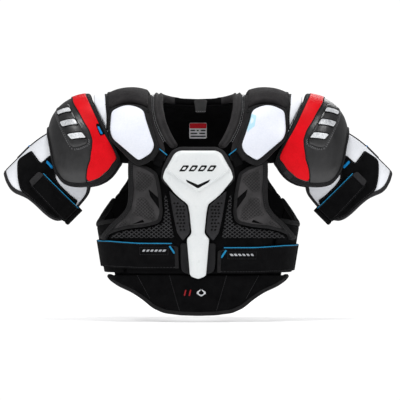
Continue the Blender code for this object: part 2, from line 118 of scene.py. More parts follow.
def depth(z, full):
    low = np.maximum(0.0, (TAPER_FROM - z) / -TAPER_FROM)
    k = np.clip((z - CHEST_LEVEL) / (SHOULDER_TOP - CHEST_LEVEL), 0.0, 1.0)
    round_top = full * np.sqrt(np.maximum(0.0, 1.0 - k**SIDE_POWER))
    return np.where(z <= CHEST_LEVEL, full - BELLY_TAPER * low * low, round_top)


def profile(full, t=0.0):
    """(arc length, height t outside it) down the middle line, from the top of the shoulder."""
    k = np.cos(np.linspace(0.0, math.pi / 2, 121)) ** (2.0 / SIDE_POWER)
    k[-1] = 0.0
    upper = CHEST_LEVEL + (SHOULDER_TOP - CHEST_LEVEL) * k
    z = np.concatenate([upper, CHEST_LEVEL - 300.0 * np.arange(1, 121) / 120])
    deep = depth(z, full)
    steps = np.hypot(np.diff(deep), np.diff(z))
    ends = np.pad(np.stack([deep, z]), ((0, 0), (1, 1)), "edge")
    run = ends[:, 2:] - ends[:, :-2]
    return np.concatenate([[0.0], np.cumsum(steps)]), z + t * run[0] / np.hypot(*run)


FRONT_PROFILE = profile(CHEST_DEPTH)
BACK_PROFILE = profile(BACK_DEPTH)


def front(points, t=0.0):
    """Chart points of the chest from (x, z) pairs read t outside the body surface."""
    points = np.array(points, float)
    length, z = profile(CHEST_DEPTH, t)
    return np.stack([points[:, 0], np.interp(-points[:, 1], -z, length)], 1)


def back(points):
    points = np.array(points, float)
    length, z = BACK_PROFILE
    return np.stack([points[:, 0], -np.interp(-points[:, 1], -z, length)], 1)


def height(w):
    """Height of a chest chart's second value."""
    return np.interp(w, *FRONT_PROFILE)


def torso_base(x, s):
    ahead = s >= 0
    z = np.where(ahead, np.interp(s, *FRONT_PROFILE), np.interp(-s, *BACK_PROFILE))
    deep = np.where(ahead, depth(z, CHEST_DEPTH), depth(z, BACK_DEPTH))
    inside = np.maximum(0.0, 1.0 - (np.abs(x) / half_width(z)) ** PLAN_POWER)
    y = np.where(ahead, -1.0, 1.0) * deep * inside ** (1.0 / PLAN_POWER)
    return np.stack([x, y, z], -1)


def offset_along(base, u, w, t):
    across = base(u + 1.0, w) - base(u - 1.0, w)
    along = base(u, w + 1.0) - base(u, w - 1.0)
    normal = np.cross(along, across)
    normal /= np.maximum(np.linalg.norm(normal, axis=-1, keepdims=True), 1e-9)
    return base(u, w) + normal * np.asarray(t, float)[..., None]


def torso(u, w, t):
    return offset_along(torso_base, u, w, t)


def side_base(q, z):
    angle = np.radians(q / MM_PER_DEGREE)
    full = np.where(q < 0, CHEST_DEPTH, BACK_DEPTH)
    wide = half_width(z) * np.cos(angle) ** (2.0 / PLAN_POWER)
    deep = depth(z, full) * np.abs(np.sin(angle)) ** (2.0 / PLAN_POWER)
    return np.stack([wide, np.sign(angle) * deep, z], -1)


def side(q, z, t):
    """The torso's plan at height z: q runs from the front through the wearer's left side."""
    return offset_along(side_base, q, z, -np.asarray(t, float))


def side_front(points):
    """Side chart points from (x, z) pairs on the front of the wearer's left side."""
    points = np.array(points, float)
    share = np.clip(points[:, 0] / half_width(points[:, 1]), 0.0, 1.0)
    turn = np.degrees(np.arccos(share ** (PLAN_POWER / 2.0)))
    return np.stack([-turn * MM_PER_DEGREE, points[:, 1]], 1)


def side_degrees(points):
    return np.array([(turn * MM_PER_DEGREE, z) for turn, z in points], float)


DOME_POLE = np.array([math.sin(DOME_POLE_TILT), 0.0, math.cos(DOME_POLE_TILT)])
DOME_AHEAD = np.array([0.0, -1.0, 0.0])
DOME_DOWN = np.array([math.cos(DOME_POLE_TILT), 0.0, -math.sin(DOME_POLE_TILT)])


def dome_base(u, w):
    turn = np.maximum(np.hypot(u, w) / DOME_CHART, 1e-6)
    spread = np.sin(turn) / turn / DOME_CHART
    sweep = DOME_AHEAD * u[..., None] + DOME_DOWN * w[..., None]
    way = DOME_POLE * np.cos(turn)[..., None] + sweep * spread[..., None]
    tall = np.where(way[..., 2] > 0, DOME_RISE, DOME_DROP)
    shares = way / np.stack([np.full_like(tall, DOME_WIDTH), np.full_like(tall, DOME_DEPTH), tall], -1)
    size = (np.abs(shares) ** DOME_POWER).sum(-1) ** (-1.0 / DOME_POWER)
    return DOME_CENTRE + way * size[..., None]


def dome(u, w, t):
    return offset_along(dome_base, u, w, -np.asarray(t, float))


def dome_point(x, z, y=None):
    """Chart point of the dome's front at (x, z), or of the direction through y when given."""
    dx = x - DOME_CENTRE[0]
    dz = z - DOME_CENTRE[2]
    tall = DOME_RISE if dz > 0 else DOME_DROP
    if y is None:
        left = 1.0 - abs(dx / DOME_WIDTH) ** DOME_POWER - abs(dz / tall) ** DOME_POWER
        y = -DOME_DEPTH * max(0.0, left) ** (1.0 / DOME_POWER)
    way = np.array([dx, y, dz])
    way /= np.linalg.norm(way)
    turn = math.acos(max(-1.0, min(1.0, float(way @ DOME_POLE))))
    scale = DOME_CHART * turn / math.sin(turn)
    return float(way @ DOME_AHEAD) * scale, float(way @ DOME_DOWN) * scale


def on_dome(points):
    return np.array([dome_point(*point) for point in points])


def arm_radii(a):
    waist = np.maximum(0.0, (ARM_WAIST_FROM - a) / ARM_WAIST_LENGTH) ** 2 * ARM_WAIST
    return ARM_WIDE - waist, ARM_DEEP - waist


def arm(g, a, t):
    """The arm tube: g is the way round from the outer side, through the front, and a runs down the arm."""
    wide, deep = arm_radii(a)
    turn = g / ARM_WIDE
    out = ARM_INWARD * (ARM_SHIFT - (wide + t) * np.cos(turn))[..., None]
    sideways = np.zeros(out.shape)
    sideways[..., 1] = -(deep + t) * np.sin(turn)
    return ARM_START + ARM_AXIS * a[..., None] + out + sideways


def arm_loop(g, a, t):
    """The arm tube with the inner side drawn in, where the strap crosses the open gap."""
    turn = np.degrees(g / ARM_WIDE)
    start, end = ARM_STRAP_FREE
    rise = np.clip((turn - start) / ARM_STRAP_CLIMB, 0.0, 1.0)
    fall = np.clip((end - turn) / ARM_STRAP_CLIMB, 0.0, 1.0)
    pull = rise * rise * (3.0 - 2.0 * rise) * fall * fall * (3.0 - 2.0 * fall)
    return arm(g, a, t - ARM_STRAP_PULL * pull)


def arm_front(points):
    """Chart points of the arm tube's front from (down the arm, across it) pairs."""
    points = np.array(points, float)
    share = np.clip((ARM_SHIFT - points[:, 1]) / arm_radii(points[:, 0])[0], -1.0, 1.0)
    return np.stack([np.arccos(share) * ARM_WIDE, points[:, 0]], 1)


def arm_degrees(points):
    return np.array([(math.radians(turn) * ARM_WIDE, a) for turn, a in points], float)


def mirrored(half):
    """A closed outline from the half with u >= 0, listed from top to bottom."""
    half = [tuple(point) for point in half]
    return np.array(half + [(-u, w) for u, w in reversed(half) if abs(u) > 1e-6])


# ---- Paths in a chart ----

CORNER_STEPS = 4


def soften(path, radius, closed=True):
    """The path with each corner eased by a short curve."""
    path = np.array(path, float)
    if radius <= 0:
        return path
    before = np.roll(path, 1, 0) - path
    after = np.roll(path, -1, 0) - path
    found = []
    for i, point in enumerate(path):
        if not closed and i in (0, len(path) - 1):
            found.append(point)
            continue
        sizes = np.linalg.norm(before[i]), np.linalg.norm(after[i])
        reach = min(radius, 0.45 * sizes[0], 0.45 * sizes[1])
        start = point + before[i] / sizes[0] * reach
        end = point + after[i] / sizes[1] * reach
        for t in np.linspace(0.0, 1.0, CORNER_STEPS + 1):
            found.append((1 - t) ** 2 * start + 2 * t * (1 - t) * point + t * t * end)
    return np.array(found)


def resample(path, spacing, closed=True):
    """Points at even steps along the path."""
    path = np.array(path, float)
    if closed:
        path = np.concatenate([path, path[:1]])
    length = np.concatenate([[0.0], np.cumsum(np.linalg.norm(np.diff(path, axis=0), axis=1))])
    count = max(3 if closed else 1, round(length[-1] / spacing))
    places = np.linspace(0.0, length[-1], count + 1)[: count if closed else None]
    return np.stack([np.interp(places, length, path[:, axis]) for axis in (0, 1)], 1)


def gap(points, path, closed=True):
    """Distance from each point to the path."""
    start = path if closed else path[:-1]
    step = (np.roll(path, -1, 0) if closed else path[1:]) - start
    size = np.maximum((step**2).sum(1), 1e-12)
    share = np.clip(((points[:, None] - start) * step).sum(2) / size, 0.0, 1.0)
    return np.linalg.norm(points[:, None] - start - share[..., None] * step, axis=2).min(1)


def within(points, path):
    """Which points lie inside the closed path."""
    ends = np.roll(path, -1, 0)
    x, y = points[:, :1], points[:, 1:]
    spans = (path[:, 1] > y) != (ends[:, 1] > y)
    rise = np.where(spans, ends[:, 1] - path[:, 1], 1.0)
    where = path[:, 0] + (ends[:, 0] - path[:, 0]) * (y - path[:, 1]) / rise
    return (spans & (x < where)).sum(1) % 2 == 1


def inward(path, closed=True):
    """Unit normals to the left of the path, or into it when it is closed."""
    ahead = np.roll(path, -1, 0) - np.roll(path, 1, 0) if closed else np.gradient(path, axis=0)
    normal = np.stack([-ahead[:, 1], ahead[:, 0]], 1)
    normal /= np.maximum(np.linalg.norm(normal, axis=1, keepdims=True), 1e-9)
    ends = np.roll(path, -1, 0)
    turns = (path[:, 0] * ends[:, 1] - ends[:, 0] * path[:, 1]).sum() > 0
    return normal if turns or not closed else -normal


def inset(path, amount, closed=True):
    """The path moved sideways, with the loops that a tight corner makes drawn together."""
    moved = path + inward(path, closed) * amount
    good = gap(moved, path, closed) > abs(amount) * 0.96
    if abs(amount) > 0.6 and good.any() and not good.all():
        places = np.arange(len(path))
        turn = {"period": len(path)} if closed else {}
        for axis in (0, 1):
            moved[:, axis] = np.interp(places, places[good], moved[good, axis], **turn)
    return moved


# ---- Shapes: (points in metres, faces, chart coordinates in metres) ----

RIM_STEP = 3.5
EDGE_RINGS = (0.1, 0.35, 0.7, 1.0)
ON_RIM = 0.02
TUBE_SIDES = 8
BENT_SHARE = 0.35


def outward(points, faces, flat):
    """The shape with its faces turned out."""
    a, b, c = (points[faces[:, i]] for i in range(3))
    volume = np.einsum("ij,ij->i", a, np.cross(b, c)).sum()
    if faces.shape[1] == 4:
        d = points[faces[:, 3]]
        volume += np.einsum("ij,ij->i", a, np.cross(c, d)).sum()
    return points, faces if volume > 0 else faces[:, ::-1], flat


def honeycomb(low, high, cell):
    rows = np.arange(low[1], high[1] + cell, cell * 0.866)
    columns = np.arange(low[0] - cell, high[0] + cell, cell)
    grid = np.stack(np.meshgrid(columns, rows), -1)
    grid[::2, :, 0] += cell / 2
    return grid.reshape(-1, 2)


def slab(outline, form, low, high, cell=5.0, edge=2.5, crown=0.0, crown_width=30.0, radius=4.0,
         lines=(), line_width=2.0, relief=None):
    """A closed pad between two heights over its surface, with a rounded edge and an optional crown."""
    rim = resample(soften(outline, radius), min(cell, RIM_STEP))
    spots = [rim]
    for share in EDGE_RINGS:
        ring = rim + inward(rim) * edge * share
        spots.append(ring[gap(ring, rim) > edge * share * 0.92])
    marks = []
    for line in lines:
        line = resample(line, cell * 0.7, closed=False)
        marks += [line] + [line + inward(line, False) * off for off in (-line_width, line_width)]
    if marks:
        marks = np.concatenate(marks)
        marks = marks[within(marks, rim)]
        marks = marks[gap(marks, rim) > edge * 1.2]
        spots.append(marks)
    grid = honeycomb(rim.min(0), rim.max(0), cell)
    grid = grid[within(grid, rim)]
    grid = grid[gap(grid, rim) > edge + 0.45 * cell]
    if len(marks) and len(grid):
        near = np.concatenate([
            np.linalg.norm(part[:, None] - marks, axis=2).min(1)
            for part in np.array_split(grid, max(1, len(grid) // 500))
        ])
        grid = grid[near > 0.5 * cell]
    spots.append(grid)
    flat = np.concatenate(spots)
    loop = [(i, (i + 1) % len(rim)) for i in range(len(rim))]
    made = delaunay_2d_cdt([Vector(spot) for spot in flat], loop, [], 0, 1e-4)
    flat = np.array([tuple(spot) for spot in made[0]])
    faces = np.array([tuple(face) for face in made[2]])
    faces = faces[within(flat[faces].mean(1), rim)]
    deep = gap(flat, rim)
    middle = (low + high) / 2
    swell = np.sqrt(1.0 - (1.0 - np.clip(deep / edge, 0.0, 1.0)) ** 2)
    top = middle + (high - middle) * swell
    top = top + crown * np.sin(np.clip(deep / crown_width, 0.0, 1.0) * math.pi / 2)
    if relief:
        top = top + relief(flat, deep)
    free = deep > ON_RIM
    faces = faces[free[faces].any(1)]
    under = np.arange(len(flat))
    under[free] = len(flat) + np.arange(free.sum())
    bottom = (middle + (low - middle) * swell)[free]
    points = np.concatenate([
        form(flat[:, 0], flat[:, 1], top),
        form(flat[free, 0], flat[free, 1], bottom),
    ])
    faces = np.concatenate([faces, under[faces][:, ::-1]])
    used = np.unique(faces)
    place = np.zeros(len(points), int)
    place[used] = np.arange(len(used))
    flat = np.concatenate([flat, flat[free]])
    return outward(points[used] * MM, place[faces], flat[used] * MM)


def strip(path, form, section, closed=True, spacing=3.5, radius=4.0, turn=1):
    """A section of (sideways, height) pairs swept along a path."""
    line = resample(soften(path, radius, closed), spacing, closed)
    rows = []
    for across, t in section:
        moved = inset(line, across * turn, closed)
        rows.append(form(moved[:, 0], moved[:, 1], np.full(len(line), t)))
    count, size = len(line), len(section)
    points = np.stack(rows, 1).reshape(-1, 3)
    faces = []
    for i in range(count if closed else count - 1):
        here, there = i * size, (i + 1) % count * size
        for j in range(size):
            k = (j + 1) % size
            faces.append((here + j, here + k, there + k, there + j))
    if not closed:
        for start, order in ((0, -1), ((count - 1) * size, 1)):
            for j in range(size // 2 - 1):
                quad = (start + j, start + j + 1, start + size - 2 - j, start + size - 1 - j)
                faces.append(quad[::order])
    along = np.arange(count) * spacing
    around = np.linspace(0.0, 1.0, size) * sum(
        math.dist(section[j], section[j - 1]) for j in range(size)
    )
    flat = np.stack(np.meshgrid(along, around, indexing="ij"), -1).reshape(-1, 2)
    return outward(points * MM, np.array(faces), flat * MM)


def tube(path, form, t, thick, closed=False, spacing=3.0, radius=4.0):
    """A round cord laid along a path; thick is its own radius."""
    turns = np.arange(TUBE_SIDES) * 2 * math.pi / TUBE_SIDES
    section = [(thick * math.cos(a), t + thick * math.sin(a)) for a in turns]
    return strip(path, form, section, closed, spacing, radius)


def binding(path, form, low, high, width=8.0, proud=1.2, closed=True, radius=4.0, turn=1):
    """Tape folded over an edge and sewn down on both faces."""
    middle = (low + high) / 2
    top, base = high + proud, low - proud
    section = [(width, high - 0.6), (width, high + proud * 0.5), (width - 1.0, top)]
    section += [(width * 0.5, top + 0.3), (1.6, top), (-0.2, high), (-1.3, middle)]
    section += [(-0.2, low), (1.6, base), (width * 0.5, base - 0.3), (width - 1.0, base)]
    section += [(width, low + 0.6)]
    return strip(path, form, section, closed, 3.5, radius, turn)


DASH = [(-1.0, 0.35), (-0.7, 1.0), (0.7, 1.0), (1.0, 0.35)]
DASH_SIDES = [(1.0, 0.0), (0.0, 1.0), (-1.0, 0.0), (0.0, -0.6)]


def dashes(path, form, t, closed=True, off=0.0, length=2.6, pitch=3.8, thick=0.45, radius=4.0, turn=1):
    """A row of stitches along a path."""
    line = resample(soften(path, radius, closed), pitch, closed)
    line = inset(line, off * turn, closed) if off else line
    across = inward(line, closed)
    ahead = np.stack([across[:, 1], -across[:, 0]], 1)
    spots, rises = [], []
    for along, size in DASH:
        for sideways, up in DASH_SIDES:
            spots.append(line + ahead * along * length / 2 + across * sideways * size * thick)
            rises.append(np.full(len(line), up * size * thick))
    spots = np.stack(spots, 1).reshape(-1, 2)
    rises = np.stack(rises, 1).reshape(-1)
    points = form(spots[:, 0], spots[:, 1], t + rises)
    one = [(0, 1, 2, 3), (15, 14, 13, 12)]
    for row in range(3):
        for j in range(4):
            k = (j + 1) % 4
            one.append((row * 4 + k, row * 4 + j, row * 4 + 4 + j, row * 4 + 4 + k))
    faces = np.concatenate([np.array(one) + 16 * i for i in range(len(line))])
    return outward(points * MM, faces, spots * MM)


def piece(name, shapes, paint, body, replaces=(), hand=1):
    """One object made of one or more shapes, riding on a CAD body."""
    points, faces, flat = [], [], []
    start = 0
    for spots, rows, chart in shapes if isinstance(shapes, list) else [shapes]:
        points.append(spots * (hand, 1, 1))
        faces += ((rows if hand > 0 else rows[:, ::-1]) + start).tolist()
        flat.append(chart)
        start += len(spots)
    mesh = bpy.data.meshes.new(name)
    mesh.from_pydata(np.concatenate(points), [], faces)
    corners = np.empty(len(mesh.loops), int)
    mesh.loops.foreach_get("vertex_index", corners)
    chart = mesh.uv_layers.new(name="chart")
    chart.uv.foreach_set("vector", np.concatenate(flat)[corners].astype(np.float32).ravel())
    mesh.materials.append(paint)
    mesh.shade_smooth()
    obj = bpy.data.objects.new(name, mesh)
    bpy.context.scene.collection.objects.link(obj)
    if body:
        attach(obj, body)
    if replaces:
        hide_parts(*replaces)
    return obj


def web(name, shape, paint, bodies, start, end, hand=1):
    """A strip of cloth across a joint, made as one fixed object; bodies, start and end are not used."""
    made = piece(name, shape, paint, None, hand=hand)
    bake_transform(made)


def cloth_sheet(outline):
    """Works out the cut size of cloth from its chart outline and keeps it nowhere; an L-shaped cut counts as
    a bent strip.
    """
    sides = np.ptp(outline, axis=0) * MM
    turned = np.roll(outline, -1, axis=0)
    area = abs(np.sum(outline[:, 0] * turned[:, 1] - turned[:, 0] * outline[:, 1])) / 2 * MM * MM
    if area < BENT_SHARE * sides.prod():
        sides = np.array([area / sides.sum(), sides.sum()])


# ---- Materials ----

# The Mix node's sockets when it mixes colours: the share, the two colours, and the result
MIX_COLOUR_INPUTS = (0, 6, 7)
MIX_COLOUR_OUTPUT = 2


class Paint:
    """A Principled material whose colour, roughness and bump come from nodes."""

    def __init__(self, name, roughness, specular=0.5, sheen=0.0, coat=0.0):
        self.made = bpy.data.materials.new(name)
        self.made.use_nodes = True
        self.tree = self.made.node_tree
        self.shader = self.tree.nodes["Principled BSDF"]
        self.place = self.node("ShaderNodeTexCoord").outputs["Object"]
        chart = self.node("ShaderNodeUVMap")
        chart.uv_map = "chart"
        self.chart = chart.outputs["UV"]
        self.bumped = None
        settings = {"Roughness": roughness, "Specular IOR Level": specular}
        settings |= {"Sheen Weight": sheen, "Sheen Roughness": 0.5, "Coat Weight": coat}
        for key, value in settings.items():
            self.shader.inputs[key].default_value = value

    def feed(self, socket, value):
        """Links a socket to the input, or sets the input to a plain value."""
        if isinstance(value, bpy.types.NodeSocket):
            self.tree.links.new(value, socket)
        else:
            socket.default_value = value

    def node(self, kind, **inputs):
        made = self.tree.nodes.new(kind)
        for key, value in inputs.items():
            self.feed(made.inputs[key.replace("_", " ")], value)
        return made

    def math(self, kind, *values):
        made = self.tree.nodes.new("ShaderNodeMath")
        made.operation = kind
        for socket, value in zip(made.inputs, values):
            self.feed(socket, value)
        return made.outputs[0]

    def noise(self, size, detail=2.0):
        """Cloudy noise with features of that size in metres."""
        made = self.node("ShaderNodeTexNoise", Vector=self.place, Scale=1.0 / size, Detail=detail)
        return made.outputs["Fac"]

    def mix(self, share, low, high):
        made = self.tree.nodes.new("ShaderNodeMix")
        made.data_type = "RGBA"
        for index, value in zip(MIX_COLOUR_INPUTS, (share, low, high)):
            self.feed(made.inputs[index], value)
        return made.outputs[MIX_COLOUR_OUTPUT]

    def spread(self, value, low, high, start=0.3, end=0.7):
        made = self.node("ShaderNodeMapRange", Value=value, From_Min=start, From_Max=end,
                         To_Min=low, To_Max=high)
        return made.outputs["Result"]

    def attribute(self, name):
        made = self.node("ShaderNodeAttribute")
        made.attribute_name = name
        return made.outputs["Fac"]

    def colour(self, low, high, size=0.02, fine=0.0015):
        """The base colour: cloudy variation with a finer grain over it."""
        grain = self.noise(fine)
        share = self.math("MULTIPLY_ADD", grain, 0.4, self.math("MULTIPLY", self.noise(size), 0.6))
        return self.base(self.mix(self.spread(share, 0.0, 1.0, 0.35, 0.65), (*low, 1.0), (*high, 1.0)))

    def base(self, colour):
        self.tree.links.new(colour, self.shader.inputs["Base Color"])
        return colour

    def rough(self, low, high, size=0.008):
        value = self.spread(self.noise(size), low, high)
        self.tree.links.new(value, self.shader.inputs["Roughness"])

    def bump(self, value, strength, distance):
        inputs = {"Height": value, "Strength": strength, "Distance": distance}
        if self.bumped:
            inputs["Normal"] = self.bumped
        self.bumped = self.node("ShaderNodeBump", **inputs).outputs["Normal"]
        self.tree.links.new(self.bumped, self.shader.inputs["Normal"])

    def wave(self, size, axis):
        """Ridges one size apart across the chart's first or second value."""
        made = self.node("ShaderNodeSeparateXYZ", Vector=self.chart)
        turn = self.math("MULTIPLY", made.outputs[axis], 2 * math.pi / size)
        return self.math("MULTIPLY_ADD", self.math("SINE", turn), 0.5, 0.5)

    def weave(self, size, strength):
        """Threads crossing over and under each other."""
        warp, weft = self.wave(size, 0), self.wave(size, 1)
        over = self.math("MULTIPLY", warp, weft)
        under = self.math("MULTIPLY", self.math("SUBTRACT", 1.0, warp), self.math("SUBTRACT", 1.0, weft))
        self.bump(self.math("ADD", over, under), strength, 0.0002)

    def cells(self, size, strength, distance):
        """Leather-like grain of raised cells."""
        made = self.node("ShaderNodeTexVoronoi", Vector=self.place, Scale=1.0 / size)
        self.bump(self.math("SUBTRACT", 1.0, made.outputs["Distance"]), strength, distance)


def cloth(name, low, high, weave, roughness=0.85, sheen=0.03, specular=0.12):
    paint = Paint(name, roughness, specular=specular, sheen=sheen)
    paint.colour(low, high)
    paint.rough(roughness - 0.08, min(1.0, roughness + 0.08))
    paint.weave(weave, 0.6)
    paint.bump(paint.noise(0.012, 3.0), 0.25, 0.0012)
    return paint.made


def leather(name, low, high, roughness, grain=0.0012, strength=0.35, specular=0.5):
    paint = Paint(name, roughness, specular=specular)
    paint.colour(low, high, 0.03, 0.002)
    paint.rough(roughness - 0.07, roughness + 0.08)
    paint.cells(grain, strength, 0.0002)
    paint.bump(paint.noise(0.02, 3.0), 0.2, 0.0015)
    return paint.made


def plastic(name, low, high, roughness, coat=0.0, specular=0.5):
    paint = Paint(name, roughness, specular=specular, coat=coat)
    paint.colour(low, high, 0.05, 0.003)
    paint.rough(roughness - 0.06, roughness + 0.1, 0.015)
    paint.bump(paint.noise(0.0006), 0.12, 0.0001)
    return paint.made


def ribbed(name, low, high, size, axis, roughness, sheen=0.03, specular=0.15):
    """Grosgrain tape or elastic, its ribs one size apart."""
    paint = Paint(name, roughness, specular=specular, sheen=sheen)
    ribs = paint.wave(size, axis)
    cloud = paint.spread(paint.noise(0.015), 0.0, 0.6)
    share = paint.math("MULTIPLY_ADD", ribs, 0.4, cloud)
    paint.base(paint.mix(share, (*low, 1.0), (*high, 1.0)))
    paint.rough(roughness - 0.08, min(1.0, roughness + 0.08))
    paint.bump(ribs, 0.7, 0.0003)
    paint.bump(paint.noise(0.0007), 0.3, 0.0001)
    return paint.made


def patterned(name, low, high, size):
    """Laminated foam pressed with small lozenges where the pattern attribute says, with painted shade
    darkening the pressed hollows.
    """
    paint = Paint(name, 0.6, specular=0.2, sheen=0.03)
    turned = paint.node("ShaderNodeMapping", Vector=paint.chart, Rotation=(0.0, 0.0, math.pi / 4))
    made = paint.node("ShaderNodeTexVoronoi", Vector=turned.outputs["Vector"], Scale=1.0 / size,
                      Randomness=0.12)
    made.feature = "DISTANCE_TO_EDGE"
    hollow = paint.spread(made.outputs["Distance"], 0.0, 1.0, 0.06, 0.20)
    where = paint.attribute("pattern")
    pressed = paint.math("MULTIPLY", hollow, where)
    cloud = paint.mix(paint.spread(paint.noise(0.03), 0.0, 1.0), (*low, 1.0), (*high, 1.0))
    # Painted shade: the pressed hollows are mixed towards half the low colour, standing in for the shade
    # that falls in them.
    dark = tuple(value * 0.50 for value in low)
    paint.base(paint.mix(paint.math("MULTIPLY", pressed, 0.85), cloud, (*dark, 1.0)))
    paint.rough(0.52, 0.7)
    paint.bump(paint.math("SUBTRACT", 1.0, pressed), 0.9, 0.0008)
    paint.weave(0.0011, 0.3)
    return paint.made


BLACK_FOAM = cloth("black_foam_fabric", (0.0016, 0.0016, 0.0019), (0.0042, 0.0042, 0.0046), 0.0014,
                   specular=0.04, sheen=0.006)
BLACK_BRUSHED = cloth("black_brushed_fabric", (0.002, 0.002, 0.0022), (0.005, 0.005, 0.0055), 0.0010,
                      0.95, specular=0.04, sheen=0.01)
GREY_FABRIC = cloth("grey_fabric", (0.015, 0.014, 0.015), (0.026, 0.024, 0.025), 0.0013, 0.8)
GREY_SOFT = cloth("grey_collar_fabric", (0.020, 0.019, 0.020), (0.034, 0.032, 0.033), 0.0012, 0.75)
PLATE_FABRIC = patterned("pressed_foam_fabric", (0.026, 0.025, 0.026), (0.052, 0.049, 0.051), 0.0044)
TAPE = ribbed("binding_tape", (0.006, 0.006, 0.0065), (0.012, 0.0115, 0.0125), 0.0011, 0, 0.7)
BLACK_TAPE = ribbed("black_binding_tape", (0.002, 0.002, 0.0022), (0.005, 0.005, 0.0055), 0.0011, 0, 0.9)
GREY_TAPE = ribbed("grey_binding_tape", (0.014, 0.014, 0.015), (0.028, 0.027, 0.029), 0.0011, 0, 0.65)
WEBBING = ribbed("black_elastic", (0.0020, 0.0020, 0.0024), (0.0052, 0.0052, 0.0056), 0.0016, 1, 0.9,
                 specular=0.05, sheen=0.01)
GREY_WEBBING = ribbed("grey_webbing", (0.03, 0.03, 0.031), (0.06, 0.06, 0.06), 0.0014, 1, 0.85)
GREY_LEATHER = leather("grey_leather", (0.009, 0.009, 0.0098), (0.017, 0.017, 0.0182), 0.36, specular=0.66)
POD_LEATHER = leather("pod_leather", (0.010, 0.010, 0.0108), (0.017, 0.017, 0.0182), 0.36, specular=0.64)
RED_LEATHER = leather("red_leather", (0.60, 0.0015, 0.006), (0.75, 0.003, 0.010), 0.44, 0.0009, 0.2,
                      specular=0.12)
WHITE_FABRIC = leather("white_synthetic", (0.84, 0.86, 0.91), (0.90, 0.92, 0.96), 0.5, 0.0010, 0.2)
WHITE_PLASTIC = plastic("white_plastic", (0.74, 0.77, 0.775), (0.80, 0.82, 0.82), 0.32, 0.1)
GREY_PLASTIC = plastic("grey_plastic", (0.016, 0.016, 0.018), (0.028, 0.027, 0.030), 0.45, specular=0.3)
BLACK_PLASTIC = plastic("black_plastic", (0.003, 0.003, 0.0035), (0.007, 0.007, 0.0075), 0.45, specular=0.12)
GUTTER_PLASTIC = plastic("gutter_plastic", (0.007, 0.007, 0.008), (0.013, 0.013, 0.014), 0.5, specular=0.15)
NET = ribbed("mesh_threads", (0.022, 0.022, 0.024), (0.055, 0.055, 0.058), 0.0012, 0, 0.7)
BLUE_PIPING = ribbed("blue_piping", (0.008, 0.20, 0.42), (0.015, 0.30, 0.55), 0.0012, 0, 0.5)
BLUE_FABRIC = cloth("blue_fabric", (0.003, 0.19, 0.50), (0.006, 0.26, 0.62), 0.0012, 0.7)
SILVER = plastic("silver_print", (0.30, 0.31, 0.33), (0.88, 0.90, 0.92), 0.25, 0.2)
LIGHT_PRINT = plastic("light_print", (0.34, 0.35, 0.37), (0.46, 0.47, 0.49), 0.5)
LIGHT_THREAD = cloth("light_thread", (0.22, 0.22, 0.23), (0.34, 0.34, 0.35), 0.0009, 0.7)
DARK_THREAD = cloth("dark_thread", (0.016, 0.016, 0.018), (0.04, 0.04, 0.042), 0.0009, 0.7)
LABEL_WHITE = cloth("white_label", (0.74, 0.74, 0.75), (0.84, 0.84, 0.85), 0.0008, 0.7)
LABEL_RED = cloth("red_label", (0.60, 0.010, 0.018), (0.72, 0.015, 0.028), 0.0008, 0.65)
RED_PRINT = cloth("dark_red_print", (0.22, 0.010, 0.014), (0.34, 0.016, 0.020), 0.0009, 0.6)


def pierced_plastic():
    """Grey moulded plastic with painted shade: its shallow holes are painted near black inside."""
    paint = Paint("pierced_plastic", 0.5, specular=0.25)
    cloud = paint.colour((0.011, 0.0105, 0.012), (0.019, 0.0185, 0.021), 0.05, 0.003)
    # Painted shade: where the hole attribute says, the colour goes near black for the shade inside the
    # holes.
    paint.base(paint.mix(paint.attribute("hole"), cloud, (0.002, 0.002, 0.002, 1.0)))
    paint.rough(0.42, 0.58)
    paint.cells(0.0011, 0.25, 0.00015)
    return paint.made


PIERCED_PLASTIC = pierced_plastic()


def printed_shell():
    """The white pad shell, with a pale blue print where the attributes say."""
    paint = Paint("printed_pad_shell", 0.42, specular=0.5)
    cloud = paint.colour((0.76, 0.79, 0.88), (0.85, 0.87, 0.94), 0.05, 0.003)
    blue = paint.mix(paint.attribute("print"), cloud, (0.46, 0.74, 0.87, 1.0))
    paint.base(paint.mix(paint.attribute("outline"), blue, (0.72, 0.84, 0.92, 1.0)))
    paint.rough(0.36, 0.5, 0.015)
    paint.cells(0.0012, 0.15, 0.0001)
    return paint.made


PRINTED_SHELL = printed_shell()


# ---- Shared shaping ----

# Heights over the body surface, in millimetres
FOAM = (0.0, 6.0)
PLATE = (7.2, 13.0)
PLATE_TAPE = (7.0, 13.4)
BACK_PAD = (7.4, 14.0)
BACK_PAD_SEWN = 13.2
WEB_LAYER = (-2.4, -0.8)


def ramp(value, start, end):
    t = np.clip((value - start) / (end - start), 0.0, 1.0)
    return t * t * (3.0 - 2.0 * t)


def inside_by(flat, outline, reach):
    """1 well inside the outline and 0 outside it, changing over that reach."""
    return np.where(within(flat, outline), np.clip(gap(flat, outline) / reach, 0.0, 1.0), 0.0)


def groove(flat, lines, deep, wide):
    """A sewn channel along each line."""
    near = np.min([gap(flat, line, closed=False) for line in lines], axis=0)
    return -deep * np.exp(-((near / wide) ** 2))


def circle(count):
    turns = np.arange(count) * 2 * math.pi / count
    return np.stack([np.cos(turns), np.sin(turns)], 1)


def nearest(flat, spots):
    return np.linalg.norm(flat[:, None] - spots, axis=2).min(1)


def ring(outline):
    """A closed outline as a line that ends where it starts."""
    return np.concatenate([outline, outline[:1]])


def chart_of(obj):
    """Each vertex's chart coordinates in millimetres."""
    flat = np.empty(len(obj.data.loops) * 2, np.float32)
    obj.data.uv_layers["chart"].uv.foreach_get("vector", flat)
    corners = np.empty(len(obj.data.loops), int)
    obj.data.loops.foreach_get("vertex_index", corners)
    spots = np.zeros((len(obj.data.vertices), 2))
    spots[corners] = flat.reshape(-1, 2) / MM
    return spots


def mark(obj, name, value):
    """Stores a number for each vertex, for the material to read."""
    layer = obj.data.attributes.new(name, "FLOAT", "POINT")
    layer.data.foreach_set("value", value(chart_of(obj)).astype(np.float32))


